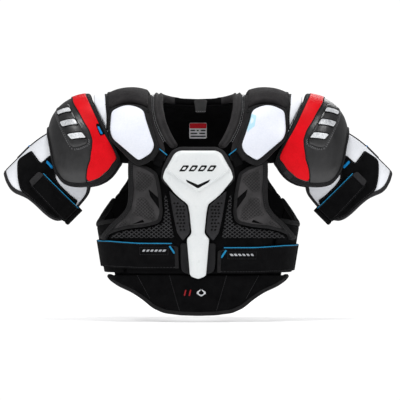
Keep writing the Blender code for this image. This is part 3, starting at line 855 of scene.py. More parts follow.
def slanted(centre, along, size, lean):
    """A leaning bar: size is (length, height), along its direction."""
    along = np.array(along, float) / np.linalg.norm(along)
    across = np.array([along[1], -along[0]])
    corners = []
    for a, b in ((-1, -1), (1, -1), (1, 1), (-1, 1)):
        corners.append(np.array(centre) + along * (a * size[0] / 2 + b * lean) + across * b * size[1] / 2)
    return np.array(corners)


CLOTH_PRESSURE = 4.0
CLOTH_FRAMES = 20


def swell(obj, cap, held=None):
    """Blows the pad up under cloth pressure, by cap at most, keeping the held places still."""
    start = np.array([vert.co for vert in obj.data.vertices])
    scene = bpy.context.scene
    modifier = obj.modifiers.new("Cloth", "CLOTH")
    settings = modifier.settings
    settings.use_pressure = True
    settings.uniform_pressure_force = CLOTH_PRESSURE
    settings.effector_weights.gravity = 0.0
    settings.quality = 4
    if held is not None:
        group = obj.vertex_groups.new(name="held")
        for index in np.nonzero(held)[0]:
            group.add([int(index)], 1.0, "REPLACE")
        settings.vertex_group_mass = "held"
    modifier.point_cache.frame_start = 1
    modifier.point_cache.frame_end = CLOTH_FRAMES
    for step in range(1, CLOTH_FRAMES + 1):
        scene.frame_set(step)
    shaped = obj.evaluated_get(bpy.context.evaluated_depsgraph_get())
    moved = np.array([vert.co for vert in shaped.data.vertices])
    obj.modifiers.remove(modifier)
    scene.frame_set(1)
    shift = moved - start
    length = np.linalg.norm(shift, axis=1, keepdims=True)
    shift *= np.minimum(1.0, cap * MM / np.maximum(length, 1e-9))
    for vert, place in zip(obj.data.vertices, start + shift):
        vert.co = place


# ---- Chest ----


CHEST_LINER = [(0, -96), (34, -96), (48, -102), (56, -119), (126, -119), (126, -150), (123, -190),
               (126, -205), (134, -218), (143, -229), (131, -328), (0, -328)]
STERNUM_BASE = [(0, -92), (35, -92), (48, -98), (58, -112), (67, -132), (69, -150), (60, -162),
                (51, -168), (17, -197), (0, -197)]
STERNUM_PLATE = [(0, -99), (34, -99), (44, -104), (53, -120), (62, -135), (66, -149), (53, -165),
                 (44, -177), (32, -188), (19, -198), (16, -213), (12, -253), (21, -263), (20, -272),
                 (15, -332), (0, -338)]
CHEVRON = [(0, -161), (23.5, -150.5), (20.5, -157), (0, -169)]
CHANNEL = [(0, -271), (33, -271), (32.5, -308), (30, -323), (22, -328), (0, -328)]


def sternum_relief(chevron):
    """A bevelled rim, a fold in a wide V under the motif, and the chevron slot."""

    def relief(flat, deep):
        x, z = np.abs(flat[:, 0]), height(flat[:, 1])
        below = (-172.0 + 0.7 * x) - z
        fold = -4.6 * ramp(below, 0.0, 2.0) * (1.0 - ramp(below, 2.5, 30.0))
        rim = -3.0 * (1.0 - ramp(deep, 0.0, 7.5))
        slot = -5.0 * inside_by(flat, chevron, 0.6)
        return fold * ramp(deep, 0.0, 6.0) + rim + slot

    return relief


def chest_middle():
    piece("chest_foam", slab(mirrored(front(CHEST_LINER)), torso, *FOAM, cell=7.0), BLACK_FOAM, "vest",
          ["chest_liner"])
    piece("sternum_pad", slab(mirrored(front(STERNUM_BASE)), torso, 7.2, 11.0, 4.0, 3.4), GREY_TAPE, "vest",
          ["sternum_base"])
    edge = mirrored(front(STERNUM_BASE))
    piece("sternum_pad_stitches", dashes(edge[2:-2], torso, 11.1, False, 2.4), DARK_THREAD, "vest")
    chevron = mirrored(front(CHEVRON))
    fold = front([(56, -132.8), (0, -172), (-56, -132.8)])
    shield = slab(mirrored(front(STERNUM_PLATE)), torso, 11.2, 17.4, 2.4, 1.6, crown=1.6, crown_width=40.0,
                  radius=5.0, lines=[ring(chevron), fold], line_width=0.6, relief=sternum_relief(chevron))
    piece("sternum_shield", shield, WHITE_PLASTIC, "vest", ["sternum_plate"])
    slot = slab(inset(chevron, 0.4), torso, 11.5, 15.4, 2.0, 0.3, radius=0.5)
    piece("sternum_slot", slot, BLACK_PLASTIC, "vest")
    frames, fills = [], []
    for x in (-25.5, -8.5, 8.5, 25.5):
        centre = front([(x, -131)])[0]
        bar = slanted(centre, (1, 0), (12.0, 11.0), 4.0)
        frames.append(slab(bar, torso, 16.8, 19.4, 2.0, 0.3, radius=0.2))
        bar = slanted(centre, (1, 0), (5.5, 4.6), 1.7)
        fills.append(slab(bar, torso, 18.6, 20.1, 2.0, 0.3, radius=0.1))
    piece("sternum_motif", frames, BLACK_PLASTIC, "vest")
    piece("sternum_motif_fills", fills, WHITE_PLASTIC, "vest")
    gutter = slab(mirrored(front(CHANNEL)), torso, 7.2, 10.4, 4.0, 2.0,
                  relief=lambda flat, deep: -1.5 * ramp(deep, 4.0, 8.0))
    piece("sternum_gutter", gutter, GUTTER_PLASTIC, "vest", ["sternum_channel"])


CHEST_ARMHOLE = [(128, -117), (128.5, -133), (127.5, -152), (126.5, -171), (127, -190), (129.5, -203),
                 (137, -215), (148, -226), (160, -239), (170, -251), (174, -261)]
CHEST_INNER = [(128, -117), (116, -120), (91, -130), (77, -140), (73, -156), (69, -180), (66, -213),
               (69, -228), (77, -234), (99, -239), (128, -242), (148, -247), (162, -253), (174, -261)]
CHEST_SLOTS = [[(92, -167), (69, -189), (68, -212), (89, -183)], [(121, -236), (101, -225.5), (97, -232)]]
CHEST_PATCHES = [
    [(113, -132), (86, -143), (79, -152), (93, -168), (101, -176), (115, -172), (116, -150)],
    [(97, -184), (113, -184), (114, -204), (122, -219), (104, -221), (90, -230), (76, -226), (80, -205)],
    [(127, -224), (137, -230), (151, -243), (127, -238)],
]
CHEST_SEAMS = [[(91, -172), (95, -190), (88, -212), (83, -232)], [(123, -223), (125, -240)],
               [(116, -125), (118, -160), (117, -196), (125, -216), (145, -237), (160, -250)],
               [(112, -131), (84, -143), (75, -150)]]
MESH_PANEL = [(59, -176), (64, -182), (63, -213), (66, -231), (75, -237), (99, -242), (128, -245),
              (148, -250), (159, -256), (166, -262), (42, -262), (45, -252), (50, -218)]
INSERT = [(54, -171), (44, -180), (21, -200), (18, -213), (14, -251), (23, -261), (28, -267),
          (39, -251), (46, -218)]
YOKE_STRAP = [(70, -98), (60, -105), (69, -129), (85, -121)]
MESH_CELL = (9.0, 7.0)


def plate_relief(slots, patches, seams):
    """Sunk patches of pressed pattern, seams between the fields, and two dark slots."""

    def relief(flat, deep):
        sunk = sum(-1.2 * inside_by(flat, patch, 2.5) for patch in patches)
        cut = sum(-3.4 * inside_by(flat, slot, 1.0) for slot in slots)
        return sunk + cut + groove(flat, seams, 1.5, 1.5) + 1.6 * ramp(deep, 4.0, 18.0)

    return relief


def net(outline, form, low, high, wide, cell):
    """Crossing threads over an outline: cell is the width and height of a lozenge."""
    reach = outline.max(0) - outline.min(0)
    middle = (outline.max(0) + outline.min(0)) / 2
    found = []
    section = [(-wide / 2, low), (wide / 2, low), (wide / 2, high - 0.3), (0.2 * wide, high)]
    section += [(-0.2 * wide, high), (-wide / 2, high - 0.3)]
    for lean in (1.0, -1.0):
        way = np.array([cell[0], lean * cell[1]]) / math.hypot(*cell)
        count = math.ceil((reach[0] + reach[1] * cell[0] / cell[1]) / cell[0] / 2)
        for i in range(-count, count + 1):
            steps = np.arange(-reach.sum(), reach.sum(), 2.0)
            line = middle + np.array([i * cell[0], 0.0]) + steps[:, None] * way
            keep = np.nonzero(within(line, outline) & (gap(line, outline) > 0.8))[0]
            for run in np.split(keep, np.nonzero(np.diff(keep) > 1)[0] + 1):
                if len(run) > 2:
                    found.append(strip(line[run], form, section, False, 4.0, 0.0))
    return found


HOLE_ROWS, HOLE_COLUMNS = 9, 4
FIRST_HOLE = (25.5, -196.0)
HOLE_PITCH = (6.0, 6.2)
HOLE_STAGGER = 1.5
HOLE_RADIUS = 2.0
HOLE_TO_EDGE = 5.0


def perforations(insert):
    """Rows of small round holes between the insert's edges."""
    spots = []
    for row in range(HOLE_ROWS):
        for column in range(HOLE_COLUMNS):
            x = FIRST_HOLE[0] + HOLE_PITCH[0] * column + HOLE_STAGGER * (row % 2)
            spots.append(front([(x, FIRST_HOLE[1] - HOLE_PITCH[1] * row)])[0])
    spots = np.array(spots)
    return spots[within(spots, insert) & (gap(spots, insert) > HOLE_TO_EDGE)]


def pierced(holes):
    """Round holes and a bevelled edge."""

    def relief(flat, deep):
        return -2.6 * (1.0 - ramp(nearest(flat, holes), 1.4, 2.2)) + 1.2 * ramp(deep, 2.0, 7.0)

    return relief


def chest_side(word, hand):
    outline = front(CHEST_INNER + CHEST_ARMHOLE[::-1][1:-1])
    slots = [front(slot) for slot in CHEST_SLOTS]
    patches = [soften(front(patch), 5.0) for patch in CHEST_PATCHES]
    seams = [front(seam) for seam in CHEST_SEAMS]
    marks = seams + [ring(patch) for patch in patches] + [ring(slot) for slot in slots]
    shape = slab(outline, torso, *PLATE, 3.2, 2.6, lines=marks, line_width=1.0,
                 relief=plate_relief(slots, patches, seams))
    plate = piece(word + "_chest_shell", shape, PLATE_FABRIC, "vest",
                  [word + "_chest_plate"], hand)
    # The pattern attribute says where the lozenges are pressed, and so where their painted hollow shade
    # goes.
    mark(plate, "pattern", lambda flat: np.max([inside_by(flat, patch, 1.5) for patch in patches], axis=0))
    shapes = [slab(inset(slot, 1.0), torso, 9.0, 11.8, 4.0, 0.4, radius=1.0) for slot in slots]
    piece(word + "_chest_slots", shapes, BLACK_BRUSHED, "vest", hand=hand)
    tape = [binding(front(CHEST_ARMHOLE), torso, *PLATE_TAPE, 8.4, closed=False, radius=8.0)]
    tape += [binding(front(CHEST_INNER), torso, *PLATE_TAPE, 4.4, 0.8, closed=False, turn=-1)]
    piece(word + "_chest_binding", tape, TAPE, "vest", hand=hand)
    rows = [dashes(front(CHEST_ARMHOLE), torso, 15.0, False, 6.8, radius=8.0)]
    piece(word + "_chest_stitches", rows, DARK_THREAD, "vest", hand=hand)

    # Painted shade: a black sheet inside the armhole stands in for the shade seen through it.
    shade = front([(126, -56), (168, -50), (170, -84), (160, -104), (148, -121), (126, -121)])
    shape = slab(shade, torso, -11.0, -8.5, 5.0, 0.8, radius=6.0)
    piece(word + "_armhole_shade_sheet", shape, BLACK_FOAM, "vest", hand=hand)
    panel = front(MESH_PANEL)
    lap = side_degrees([(-52, -232), (-36, -236), (-36, -326), (-52, -326)])
    piece(word + "_front_web", slab(lap, side, *WEB_LAYER, 6.0, 0.5), BLACK_FOAM, "vest",
          hand=hand)
    made = piece(word + "_mesh_backing", slab(panel, torso, 6.6, 7.8, 6.0, 0.5), BLACK_BRUSHED, "vest",
                 hand=hand)
    cloth_sheet(panel)
    threads = net(panel, torso, 7.6, 9.0, 1.5, MESH_CELL)
    piece(word + "_mesh_net", threads, NET, "vest", [word + "_mesh_panel"], hand)

    insert = front(INSERT)
    holes = perforations(insert)
    rings = [ring(hole + HOLE_RADIUS * circle(10)) for hole in holes]
    shape = slab(insert, torso, 7.2, 13.4, 3.0, 2.4, lines=rings, line_width=0.45, relief=pierced(holes))
    made = piece(word + "_sternum_wing", shape, PIERCED_PLASTIC, "vest",
                 [word + "_sternum_insert"], hand)
    # The hole attribute carries the painted shade inside the holes.
    mark(made, "hole", lambda flat: (nearest(flat, holes) < HOLE_RADIUS + 0.1).astype(float))

    strap = front(YOKE_STRAP)
    piece(word + "_yoke_webbing", slab(strap, torso, 10.8, 13.4, 5.0, 1.0), WEBBING, "vest",
          [word + "_yoke_strap"], hand)
    edge = front([(72, -96), (57.5, -107)])
    piece(word + "_yoke_piping", tube(edge, torso, 13.0, 0.95), BLUE_PIPING, "vest", hand=hand)


# ---- Shoulders and collar ----


COLLAR_OUTER = [(49, -95), (61, -82), (70, -66), (78, -48), (84, -28)]
COLLAR_INNER = [(36, -89), (44, -78), (53, -61), (61, -42), (66, -19)]
COLLAR_OUTER_BACK = [(85, 0), (82, -20), (66, -42), (38, -54)]
COLLAR_INNER_BACK = [(67, 0), (64, -16), (52, -28), (30, -36)]
COVER_SEAM = [(92, -12), (108, -6), (130, -3), (150, -6), (168, -14)]
COVER_BACK = [(160, -40), (150, -80), (120, -96), (90, -92), (78, -60)]
ARCH_FRONT = [(169, -58), (178, -40), (189, -19), (198, -2)]
CLAVICLE_BASE = [(93, -17), (108, -10), (130, -7), (150, -10), (165, -18), (165, -60), (161, -74),
                 (150, -86), (138, -98), (124, -114), (112, -122), (106, -124), (91, -118), (80, -108),
                 (74, -97), (74, -89), (78, -80), (82, -66), (89, -42)]
CLAVICLE_SHELL = [(101, -19), (116, -11), (130, -8), (142, -10), (160, -19), (161, -57), (156, -72),
                  (137, -89), (114, -110), (108, -114), (103, -112), (86, -101), (80, -87), (89, -61),
                  (97, -36)]
BLUE_PRINT = [(97, -24), (108, -31), (104, -51), (92, -60), (88, -56), (95, -40)]
PRINT_RING = [(99.5, -34), (103, -37), (102, -43), (98, -46), (96, -42)]


ARCH_READ = 8.0


def over_top(front_points, top, back_points):
    """A chart path from the chest over the shoulder to the back, both ends given as on the chest."""
    rear = front(back_points, ARCH_READ) * (1, -1)
    return np.concatenate([front(front_points, ARCH_READ), [(top, 0.0)], rear])


def shoulder_yoke(word, hand):
    ridge = [(88, 0.0), (163, 0.0)]
    inner = front([(60, -116), (62, -96), (65, -83), (74, -67), (82, -49), (88, -28)])
    outer = front([(162, -10), (160, -30), (152, -60), (140, -90), (126, -116)])
    rear = np.concatenate([back([(161, -20), (150, -62), (66, -62)]), [(69, -45), (85, -21)]])
    outline = np.concatenate([inner, ridge[:1], rear[::-1], ridge[1:], outer])
    piece(word + "_yoke_foam", slab(outline, torso, 0.0, 8.0, 6.0, 3.0), GREY_FABRIC, "vest",
          [word + "_shoulder_yoke"], hand)
    edge = np.concatenate([front([(66, -83), (75, -67), (83, -49), (88, -28)]),
                           [(90, 0), (87, -22), (73, -44)]])
    rows = [dashes(edge, torso, 8.3, False, off, turn=-1) for off in (1.5, 4.5)]
    piece(word + "_yoke_stitches", rows, LIGHT_THREAD, "vest", hand=hand)


def shoulder_cover(word, hand):
    seam = front(COVER_SEAM, 21.0)
    outline = np.concatenate([seam, [(174, 0.0)], back(COVER_BACK), [(89, -34), (93, 0.0)]])

    def arched(flat, deep):
        return -8.0 * ((flat[:, 0] - 126.0) / 44.0) ** 2

    body = slab(outline, torso, 9.0, 20.5, 5.0, 5.0, crown=1.5, radius=8.0, relief=arched)
    made = piece(word + "_shoulder_pad", body, GREY_FABRIC, None,
                 [word + "_shoulder_cover"], hand)
    swell(made, 3.0)
    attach(made, "vest")
    rows = [dashes(seam, torso, 21.0, False, off, turn=-1) for off in (6.0, 9.0)]
    piece(word + "_shoulder_stitches", rows, DARK_THREAD, "vest", hand=hand)
    side_edge = np.concatenate([front([(167, -18), (168, -14)], 21.0), [(173.5, 0.0)], back(COVER_BACK[:2])])
    tape = binding(side_edge, torso, 8.0, 12.5, 7.0, 0.9, closed=False, radius=8.0, turn=-1)
    piece(word + "_shoulder_binding", tape, TAPE, "vest", hand=hand)
    eyelet = front([(92.5, -22)], 20.0)[0]
    piece(word + "_eyelet", tube(eyelet + 3.2 * circle(14), torso, 20.5, 1.0, True, 1.6, 0.0),
          BLACK_PLASTIC, word + "_clavicle", hand=hand)


def shoulder_arch(word, hand):
    outline = over_top(ARCH_FRONT, 200.0, ARCH_FRONT[::-1])
    outline = np.concatenate([outline, back([(166, -58)]), front([(166, -58)])])
    piece(word + "_arch_pad", slab(outline, torso, 0.5, 7.6, 4.0, 2.6, crown=1.2), WHITE_FABRIC, "vest",
          [word + "_shoulder_arch"], hand)
    inner = over_top([(167.5, -57), (168, -30), (171, -12)], 176.0, [(171, -12), (168, -30), (167.5, -57)])
    tape = strip(inner, torso, [(-3.5, 6.0), (3.5, 6.0), (3.5, 9.6), (-3.5, 9.6)], False, 4.0, 8.0)
    piece(word + "_arch_tape", tape, TAPE, "vest", hand=hand)


def clavicle(word, hand):
    body = word + "_clavicle"
    base, shell = front(CLAVICLE_BASE, 19.0), front(CLAVICLE_SHELL, 25.0)
    shapes = [slab(base, torso, 14.0, 18.6, 6.0, 2.0),
              binding(base, torso, 14.2, 19.0, 8.6, 1.0, radius=7.0)]
    piece(word + "_clavicle_pad", shapes, TAPE, body, [word + "_clavicle_base"], hand)
    rows = [dashes(base, torso, 20.4, True, 7.6, radius=7.0)]
    piece(word + "_clavicle_stitches", rows, DARK_THREAD, body, hand=hand)
    lines = [ring(front(BLUE_PRINT, 25.0)), ring(front(PRINT_RING, 25.0))] if hand > 0 else []
    shape = slab(shell, torso, 19.6, 24.2, 3.0, 2.8, crown=2.0, crown_width=26.0, radius=7.0,
                 lines=lines, line_width=0.4)
    made = piece(word + "_clavicle_cap", shape, PRINTED_SHELL, body,
                 [word + "_clavicle_shell"], hand)
    if hand > 0:
        mark(made, "print", lambda flat: within(flat, lines[0][:-1]).astype(float))
        mark(made, "outline", lambda flat: within(flat, lines[1][:-1]).astype(float))


def collar():
    inner = np.concatenate([front(COLLAR_INNER), COLLAR_INNER_BACK])
    outer = np.concatenate([front(COLLAR_OUTER), COLLAR_OUTER_BACK])
    middle = soften(inner * 0.52 + outer * 0.48, 8.0, closed=False)
    outline = np.concatenate([inner, outer[::-1]])

    def relief(flat, deep):
        return groove(flat, [middle], 5.5, 2.6)

    for word, hand in SIDES:
        shape = slab(outline, torso, -3.0, 10.5, 3.6, 6.0, crown=3.0, crown_width=9.0, radius=6.0,
                     lines=[middle], line_width=2.4, relief=relief)
        made = piece(word + "_collar_pad", shape, GREY_SOFT, "vest",
                     [word + "_collar_roll"], hand)
        rows = [dashes(middle[3:-3], torso, 8.2, False)]
        piece(word + "_collar_stitches", rows, DARK_THREAD, "vest", hand=hand)
    behind = mirrored([(0, -37), (30, -34.5), (44, -29), (60, -46), (40, -54), (0, -57)])
    facing = mirrored([(0, -40), (52, -32), (66, -26), (84, -30), (86, -60), (60, -84), (0, -86)])
    piece("neck_facing", slab(facing, torso, -7.0, -3.6, 5.0, 1.2), BLACK_BRUSHED, "vest")
    made = piece("back_collar_pad", slab(behind, torso, -3.0, 10.5, 4.0, 5.0, crown=1.5), BLACK_FOAM, "vest",
                 ["back_collar"])


def flat_back(u, w, t):
    """An upright plane behind the neck, w running down from the loop's top."""
    return np.stack([u + 5.0, 32.5 + t, 3.0 - w], -1)


def hang_loop():
    outline = [(-13, 0), (13, 0), (9.1, 25), (-9.1, 25)]
    shapes = [slab(np.array(outline, float), flat_back, -1.0, 1.0, 4.0, 0.8, radius=2.0)]
    piece("hang_loop_webbing", shapes, GREY_WEBBING, "vest", ["hang_loop"])
    rows = [dashes(np.array([(-8.5, 22.0), (8.5, 22.0)]), flat_back, -1.2, False)]
    piece("hang_loop_stitches", rows, LIGHT_THREAD, "vest")


def flat_down(u, w, t):
    return np.stack([u, w, t + 0.0 * u], -1)


def cushion(word, hand):
    outline = np.array([(87, -25), (153, -25), (153, 25), (87, 25)], float)
    made = piece(word + "_cushion_pad", slab(outline, flat_down, -11.0, -3.4, 5.0, 2.5, radius=9.0),
                 GREY_FABRIC, "vest", [word + "_shoulder_cushion"], hand)


# ---- Back ----


def back_middle():
    low = back([(136, -64), (134, -90), (131, -129), (133, -144), (137, -154), (149, -171), (155.5, -184),
                (152, -202), (146.5, -222), (145, -240), (133.5, -328), (0, -328)])
    panel = mirrored(np.concatenate([[(0, -60), (38, -57.3), (62, -47), (62, low[0, 1])], low]))
    piece("back_foam", slab(panel, torso, *FOAM, 7.0, 2.5), BLACK_FOAM, "vest",
          ["back_panel"])
    for word, hand in SIDES:
        lap = side_degrees([(34, -206.5), (38, -198), (41, -189), (43, -183.5), (46, -178.5), (50, -173.5),
                            (56, -172), (56, -326), (34, -326)])
        piece(word + "_back_web", slab(lap, side, *WEB_LAYER, 6.0, 0.5, radius=1.0), BLACK_FOAM, "vest",
              hand=hand)
        tape = binding(low[:7], torso, *FOAM, 8.0, closed=False, radius=8.0, turn=-1)
        piece(word + "_back_binding", tape, BLACK_TAPE, "vest", hand=hand)
    spine = mirrored(back([(0, -46), (30, -48), (38, -60), (30, -215), (0, -219)]))
    levels = [back([(0, z)])[0][1] for z in range(-72, -212, -23)]
    joints = [np.array([(-40.0, w), (-14.0, w + 5.0), (14.0, w + 5.0), (40.0, w)]) for w in levels]

    def vertebrae(flat, deep):
        ridge = 2.2 * (1.0 - ramp(np.abs(flat[:, 0]), 8.0, 16.0))
        return groove(flat, joints, 3.2, 1.6) + ridge * ramp(deep, 2.0, 8.0)

    shape = slab(spine, torso, 7.2, 15.5, 3.4, 3.0, crown=1.4, crown_width=18.0, radius=6.0,
                 lines=joints, line_width=1.6, relief=vertebrae)
    piece("spine_plate", shape, GREY_PLASTIC, "vest", ["spine_guard"])
    kidney = mirrored(back([(0, -224), (36, -222), (105, -238), (120, -262), (112, -322), (0, -330)]))
    rows = [back([(x, -228), (x * 0.92, -326)]) for x in (-80, -40, 0, 40, 80)]
    made = piece("lower_back_foam", slab(kidney, torso, *BACK_PAD, 4.5, 4.0, crown=1.0, radius=9.0,
                                         lines=rows, line_width=2.5), GREY_FABRIC, None,
                 ["lower_back_pad"])
    quilt(made, rows, "vest", 3.5)
    sewn = [dashes(row, torso, BACK_PAD_SEWN, False) for row in rows]
    piece("lower_back_stitches", sewn, LIGHT_THREAD, "vest")
    lining = back([(84, -60), (80, -110), (58, -168), (0, -176)])
    lining = mirrored(np.concatenate([[(0, -61), (40, -60), (68, -52), (82, -66)], lining]))
    piece("neck_lining", slab(lining, torso, -5.0, -1.0, 6.0, 1.5), BLACK_BRUSHED, "vest",
          ["back_liner"])
    for word, hand in SIDES:
        blade = back([(46, -104), (80, -108), (116, -112), (122, -140), (110, -190), (60, -212),
                      (42, -206), (44, -150)])
        rows = [back([(50, -128), (116, -134)]), back([(48, -160), (112, -166)]),
                back([(46, -190), (100, -194)])]
        shape = slab(blade, torso, *BACK_PAD, 4.0, 4.0, crown=1.0, radius=8.0, lines=rows, line_width=2.5)
        made = piece(word + "_scapula_foam", shape, GREY_FABRIC, None,
                     [word + "_scapula_pad"], hand)
        quilt(made, rows, "vest", 3.0)
        sewn = [dashes(row, torso, BACK_PAD_SEWN, False) for row in rows]
        piece(word + "_scapula_stitches", sewn, LIGHT_THREAD, "vest", hand=hand)


SEAM_HELD = 1.3


def quilt(made, rows, body, cap):
    """Swells a pad between its seams and lets it ride on its body."""
    near = np.min([gap(chart_of(made), row, closed=False) for row in rows], axis=0)
    swell(made, cap, held=near < SEAM_HELD)
    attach(made, body)


LABEL_BARS = [(-15, -50, 10), (-3, -50, 5), (5, -50, 10), (-15, -56, 14), (2, -56, 12), (-15, -62, 30)]


def size_label():
    label = mirrored(back([(0, -36), (17, -36), (17, -68), (0, -68)]))
    made = piece("label_cloth", slab(label, torso, -7.4, -6.4, 4.0, 0.3, radius=1.0), LABEL_WHITE, "vest",
                 ["size_label"])
    cloth_sheet(label)
    top = mirrored(back([(0, -36.5), (16.5, -36.5), (16.5, -47), (0, -47)]))
    piece("label_band", slab(top, torso, -7.8, -7.2, 4.0, 0.2, radius=0.5), LABEL_RED, "vest")
    bars = []
    for x, z, wide in LABEL_BARS:
        bar = back([(x, z), (x + wide, z), (x + wide, z - 2.6), (x, z - 2.6)])
        bars.append(slab(bar, torso, -7.8, -7.2, 3.0, 0.2, radius=0.2))
    piece("label_bars", bars, DARK_THREAD, "vest")


# ---- Sides and straps ----


WING_EDGE = [(-43, -232), (-20, -237), (0, -241), (15, -232), (25, -220), (35, -206), (43.5, -192)]


def rib_wing(word, hand):
    outline = side_degrees(WING_EDGE + [(43.5, -327), (-43, -327)])
    piece(word + "_rib_foam", slab(outline, side, *FOAM, 6.0, 2.5), BLACK_FOAM, "vest",
          [word + "_rib_wing"], hand)
    tape = binding(side_degrees(WING_EDGE), side, *FOAM, 8.0, closed=False, radius=8.0)
    piece(word + "_rib_binding", tape, BLACK_TAPE, "vest", hand=hand)


STRAP_TOP, STRAP_BOTTOM, STRAP_TIP, STRAP_HINGE, STRAP_BACK = -265.0, -319.0, -82.8, -12.0, 50.0
LEFT_STRAP_DROP = 8.0


def chest_strap(word, hand):
    drop = LEFT_STRAP_DROP if hand > 0 else 0.0
    top, low = STRAP_TOP - drop, STRAP_BOTTOM - drop
    held = side_degrees([(STRAP_HINGE + 1.5, top), (STRAP_BACK, top + 2), (STRAP_BACK, low + 8),
                         (STRAP_HINGE + 1.5, low + 4)])
    piece(word + "_strap_elastic", slab(held, side, 7.5, 11.0, 5.0, 1.2, radius=2.0), WEBBING, "vest",
          [word + "_strap_anchor"], hand)
    loose = side_degrees([(STRAP_TIP, top - 12), (STRAP_TIP + 4, top - 5), (-60, top - 5), (-35, top - 1),
                          (STRAP_HINGE, top), (STRAP_HINGE, low + 4), (-60, low), (STRAP_TIP, low)])
    body = word + "_strap"
    piece(body + "_band", slab(loose, side, 7.5, 11.0, 4.0, 1.2, radius=3.0), WEBBING, body,
          [word + "_chest_strap"], hand)
    edge = side_degrees([(STRAP_TIP + 3, top - 6.2), (-60, top - 5.8), (-35, top - 1.8),
                         (STRAP_HINGE, top - 0.8)])
    piece(body + "_piping", tube(edge, side, 11.0, 0.9), BLUE_PIPING, body, hand=hand)
    slash = side_degrees([(STRAP_TIP + 1.8, top - 25), (STRAP_TIP + 4.2, top - 11)])
    piece(body + "_slash", tube(slash, side, 11.1, 1.1), BLUE_PIPING, body, hand=hand)
    tab = side_degrees([(STRAP_TIP, top - 13), (STRAP_TIP + 1.8, top - 10), (STRAP_TIP + 1.8, low),
                        (STRAP_TIP, low)])
    piece(body + "_tab", slab(tab, side, 10.6, 12.2, 3.0, 0.6, radius=0.8), TAPE, body, hand=hand)
    frame_box = side_front([(106, top - 14), (55, top - 14), (55, top - 27), (106, top - 27)])
    rows = [dashes(frame_box, side, 11.1, True, radius=0.0, length=1.6, pitch=2.4, thick=0.3)]
    bars = []
    for i in range(6):
        centre = side_front([(62 + 7.4 * i, top - 19.5)])[0]
        bars.append(slab(slanted(centre, (1, 0), (3.4, 4.2), 0.9), side, 10.8, 11.4, 1.5, 0.2, radius=0.3))
    piece(body + "_label_border", rows, DARK_THREAD, body, hand=hand)
    piece(body + "_label_bars", bars, LIGHT_PRINT, body, hand=hand)
    seam = side_degrees([(STRAP_HINGE - 4, top), (STRAP_HINGE + 5, top), (STRAP_HINGE + 5, low + 5),
                         (STRAP_HINGE - 4, low + 5)])
    ends = [side(*side_degrees([(STRAP_HINGE + turn, (top + low) / 2)])[0], 7.0) for turn in (2.0, -0.5)]
    shape = slab(seam, side, 6.5, 7.3, 3.0, 0.3, radius=1.0)
    web(body + "_web", shape, WEBBING, ("vest", body), *ends, hand)
    rows = [dashes(loose, side, 11.1, True, 3.0, radius=3.0)]
    piece(body + "_stitches", rows, DARK_THREAD, body, hand=hand)


BELLY = [(0, -331), (166, -331), (168, -334), (165, -338.5), (160, -343.5), (146, -353), (122, -364),
         (103, -377), (84, -393), (64, -402), (33, -406), (0, -407)]


def belly():
    outline = mirrored(front(BELLY))
    cover = mirrored(front([(0, -323), (160.4, -323), (158.2, -337), (0, -337)]))
    ends = [torso(*front([(0, z)])[0], 0.0) for z in (-326.0, -332.0)]
    cloth_strip = slab(cover, torso, *WEB_LAYER, 3.0, 0.4, radius=0.5)
    web("belly_web", cloth_strip, BLACK_FOAM, ("vest", "belly"), *ends)
    seams = [front([(x0, -333), (x1, -400)]) for x0, x1 in ((53, 34), (-53, -34))]
    seams += [front([(x0, -333), (x1, -374)]) for x0, x1 in ((112, 90), (-112, -90))]
    shape = slab(outline, torso, 0.4, 5.0, 4.0, 2.2, radius=6.0, lines=seams, line_width=2.0)
    made = piece("belly_foam", shape, BLACK_FOAM, None, ["belly_pad"])
    quilt(made, seams, "belly", 2.5)
    piece("belly_seams", [dashes(seam, torso, 5.2, False) for seam in seams], DARK_THREAD, "belly")
    edge = np.concatenate([front(BELLY[1:]), (front(BELLY[1:-1]) * (-1, 1))[::-1]])
    tape = binding(edge, torso, *FOAM, 6.5, 0.9, closed=False, radius=6.0)
    piece("belly_binding", tape, TAPE, "belly")
    bars = [slab(slanted(front([(x, -364)])[0], (0.25, -1), (12.0, 2.6), 0.0), torso, 6.0, 7.4, 2.0, 0.2,
                 radius=0.3) for x in (-24, -15)]
    piece("belly_motif_bars", bars, RED_PRINT, "belly")
    ends = front([(0, -358), (9, -364), (0, -370), (-9, -364)])
    diamond = [strip(ring(ends + (6, 0)), torso, [(-1.0, 6.0), (1.0, 6.0), (1.0, 7.5), (-1.0, 7.5)], False,
                     3.0, 0.0)]
    piece("belly_motif_diamond", diamond, SILVER, "belly")


# ---- Shoulder caps ----


CAP_INNER = [(204, 1), (193, -19), (182, -40), (172, -62), (159, -86), (146, -111)]
CAP_LOWER = [(148, -120), (158, -135), (167, -146), (178, -155), (193, -162), (209, -165), (226, -166)]
CAP_OUTER = [(243, -164), (254, -159), (262, -151), (270, -139), (275, -126), (279, -108), (282, -89)]
RED_OUTER = [(238, 0), (236, -8), (224, -27), (215, -44), (205, -59), (199, -76), (200, -91),
             (203, -114), (210, -157)]
RED_INNER = [(186, -149), (168, -133), (153, -112), (159, -96), (168, -80), (176, -67), (192, -36),
             (201, -17), (209, -1)]
POD = [(268, -19), (264, -34), (254, -57), (245, -76), (236, -92), (222, -90), (208, -84),
       (208, -76), (215, -62), (225, -45), (234, -28), (244, -9)]


def around(half):
    """A closed outline from its front half, whose ends lie on the shoulder plane."""
    half = np.array(half, float)
    return np.concatenate([half, (half * (-1, 1))[::-1][np.abs(half[::-1, 0]) > 1.0]])


def cap_rim():
    half = [dome_point(207, 12.5, 0.0), dome_point(206, 11.0)]
    half += [dome_point(x, z) for x, z in CAP_INNER + CAP_LOWER + CAP_OUTER]
    half += [dome_point(286, -73, -46.0), dome_point(290, -61, -25.0), dome_point(291, -56, 0.0)]
    return around(half)


def red_band():
    crown = [dome_point(213, 12.5, 0.0), dome_point(240, 5.0, 0.0)]
    half = on_dome(RED_OUTER + RED_INNER)
    return np.concatenate([crown[1:], half, crown[:1], (half * (-1, 1))[::-1]])


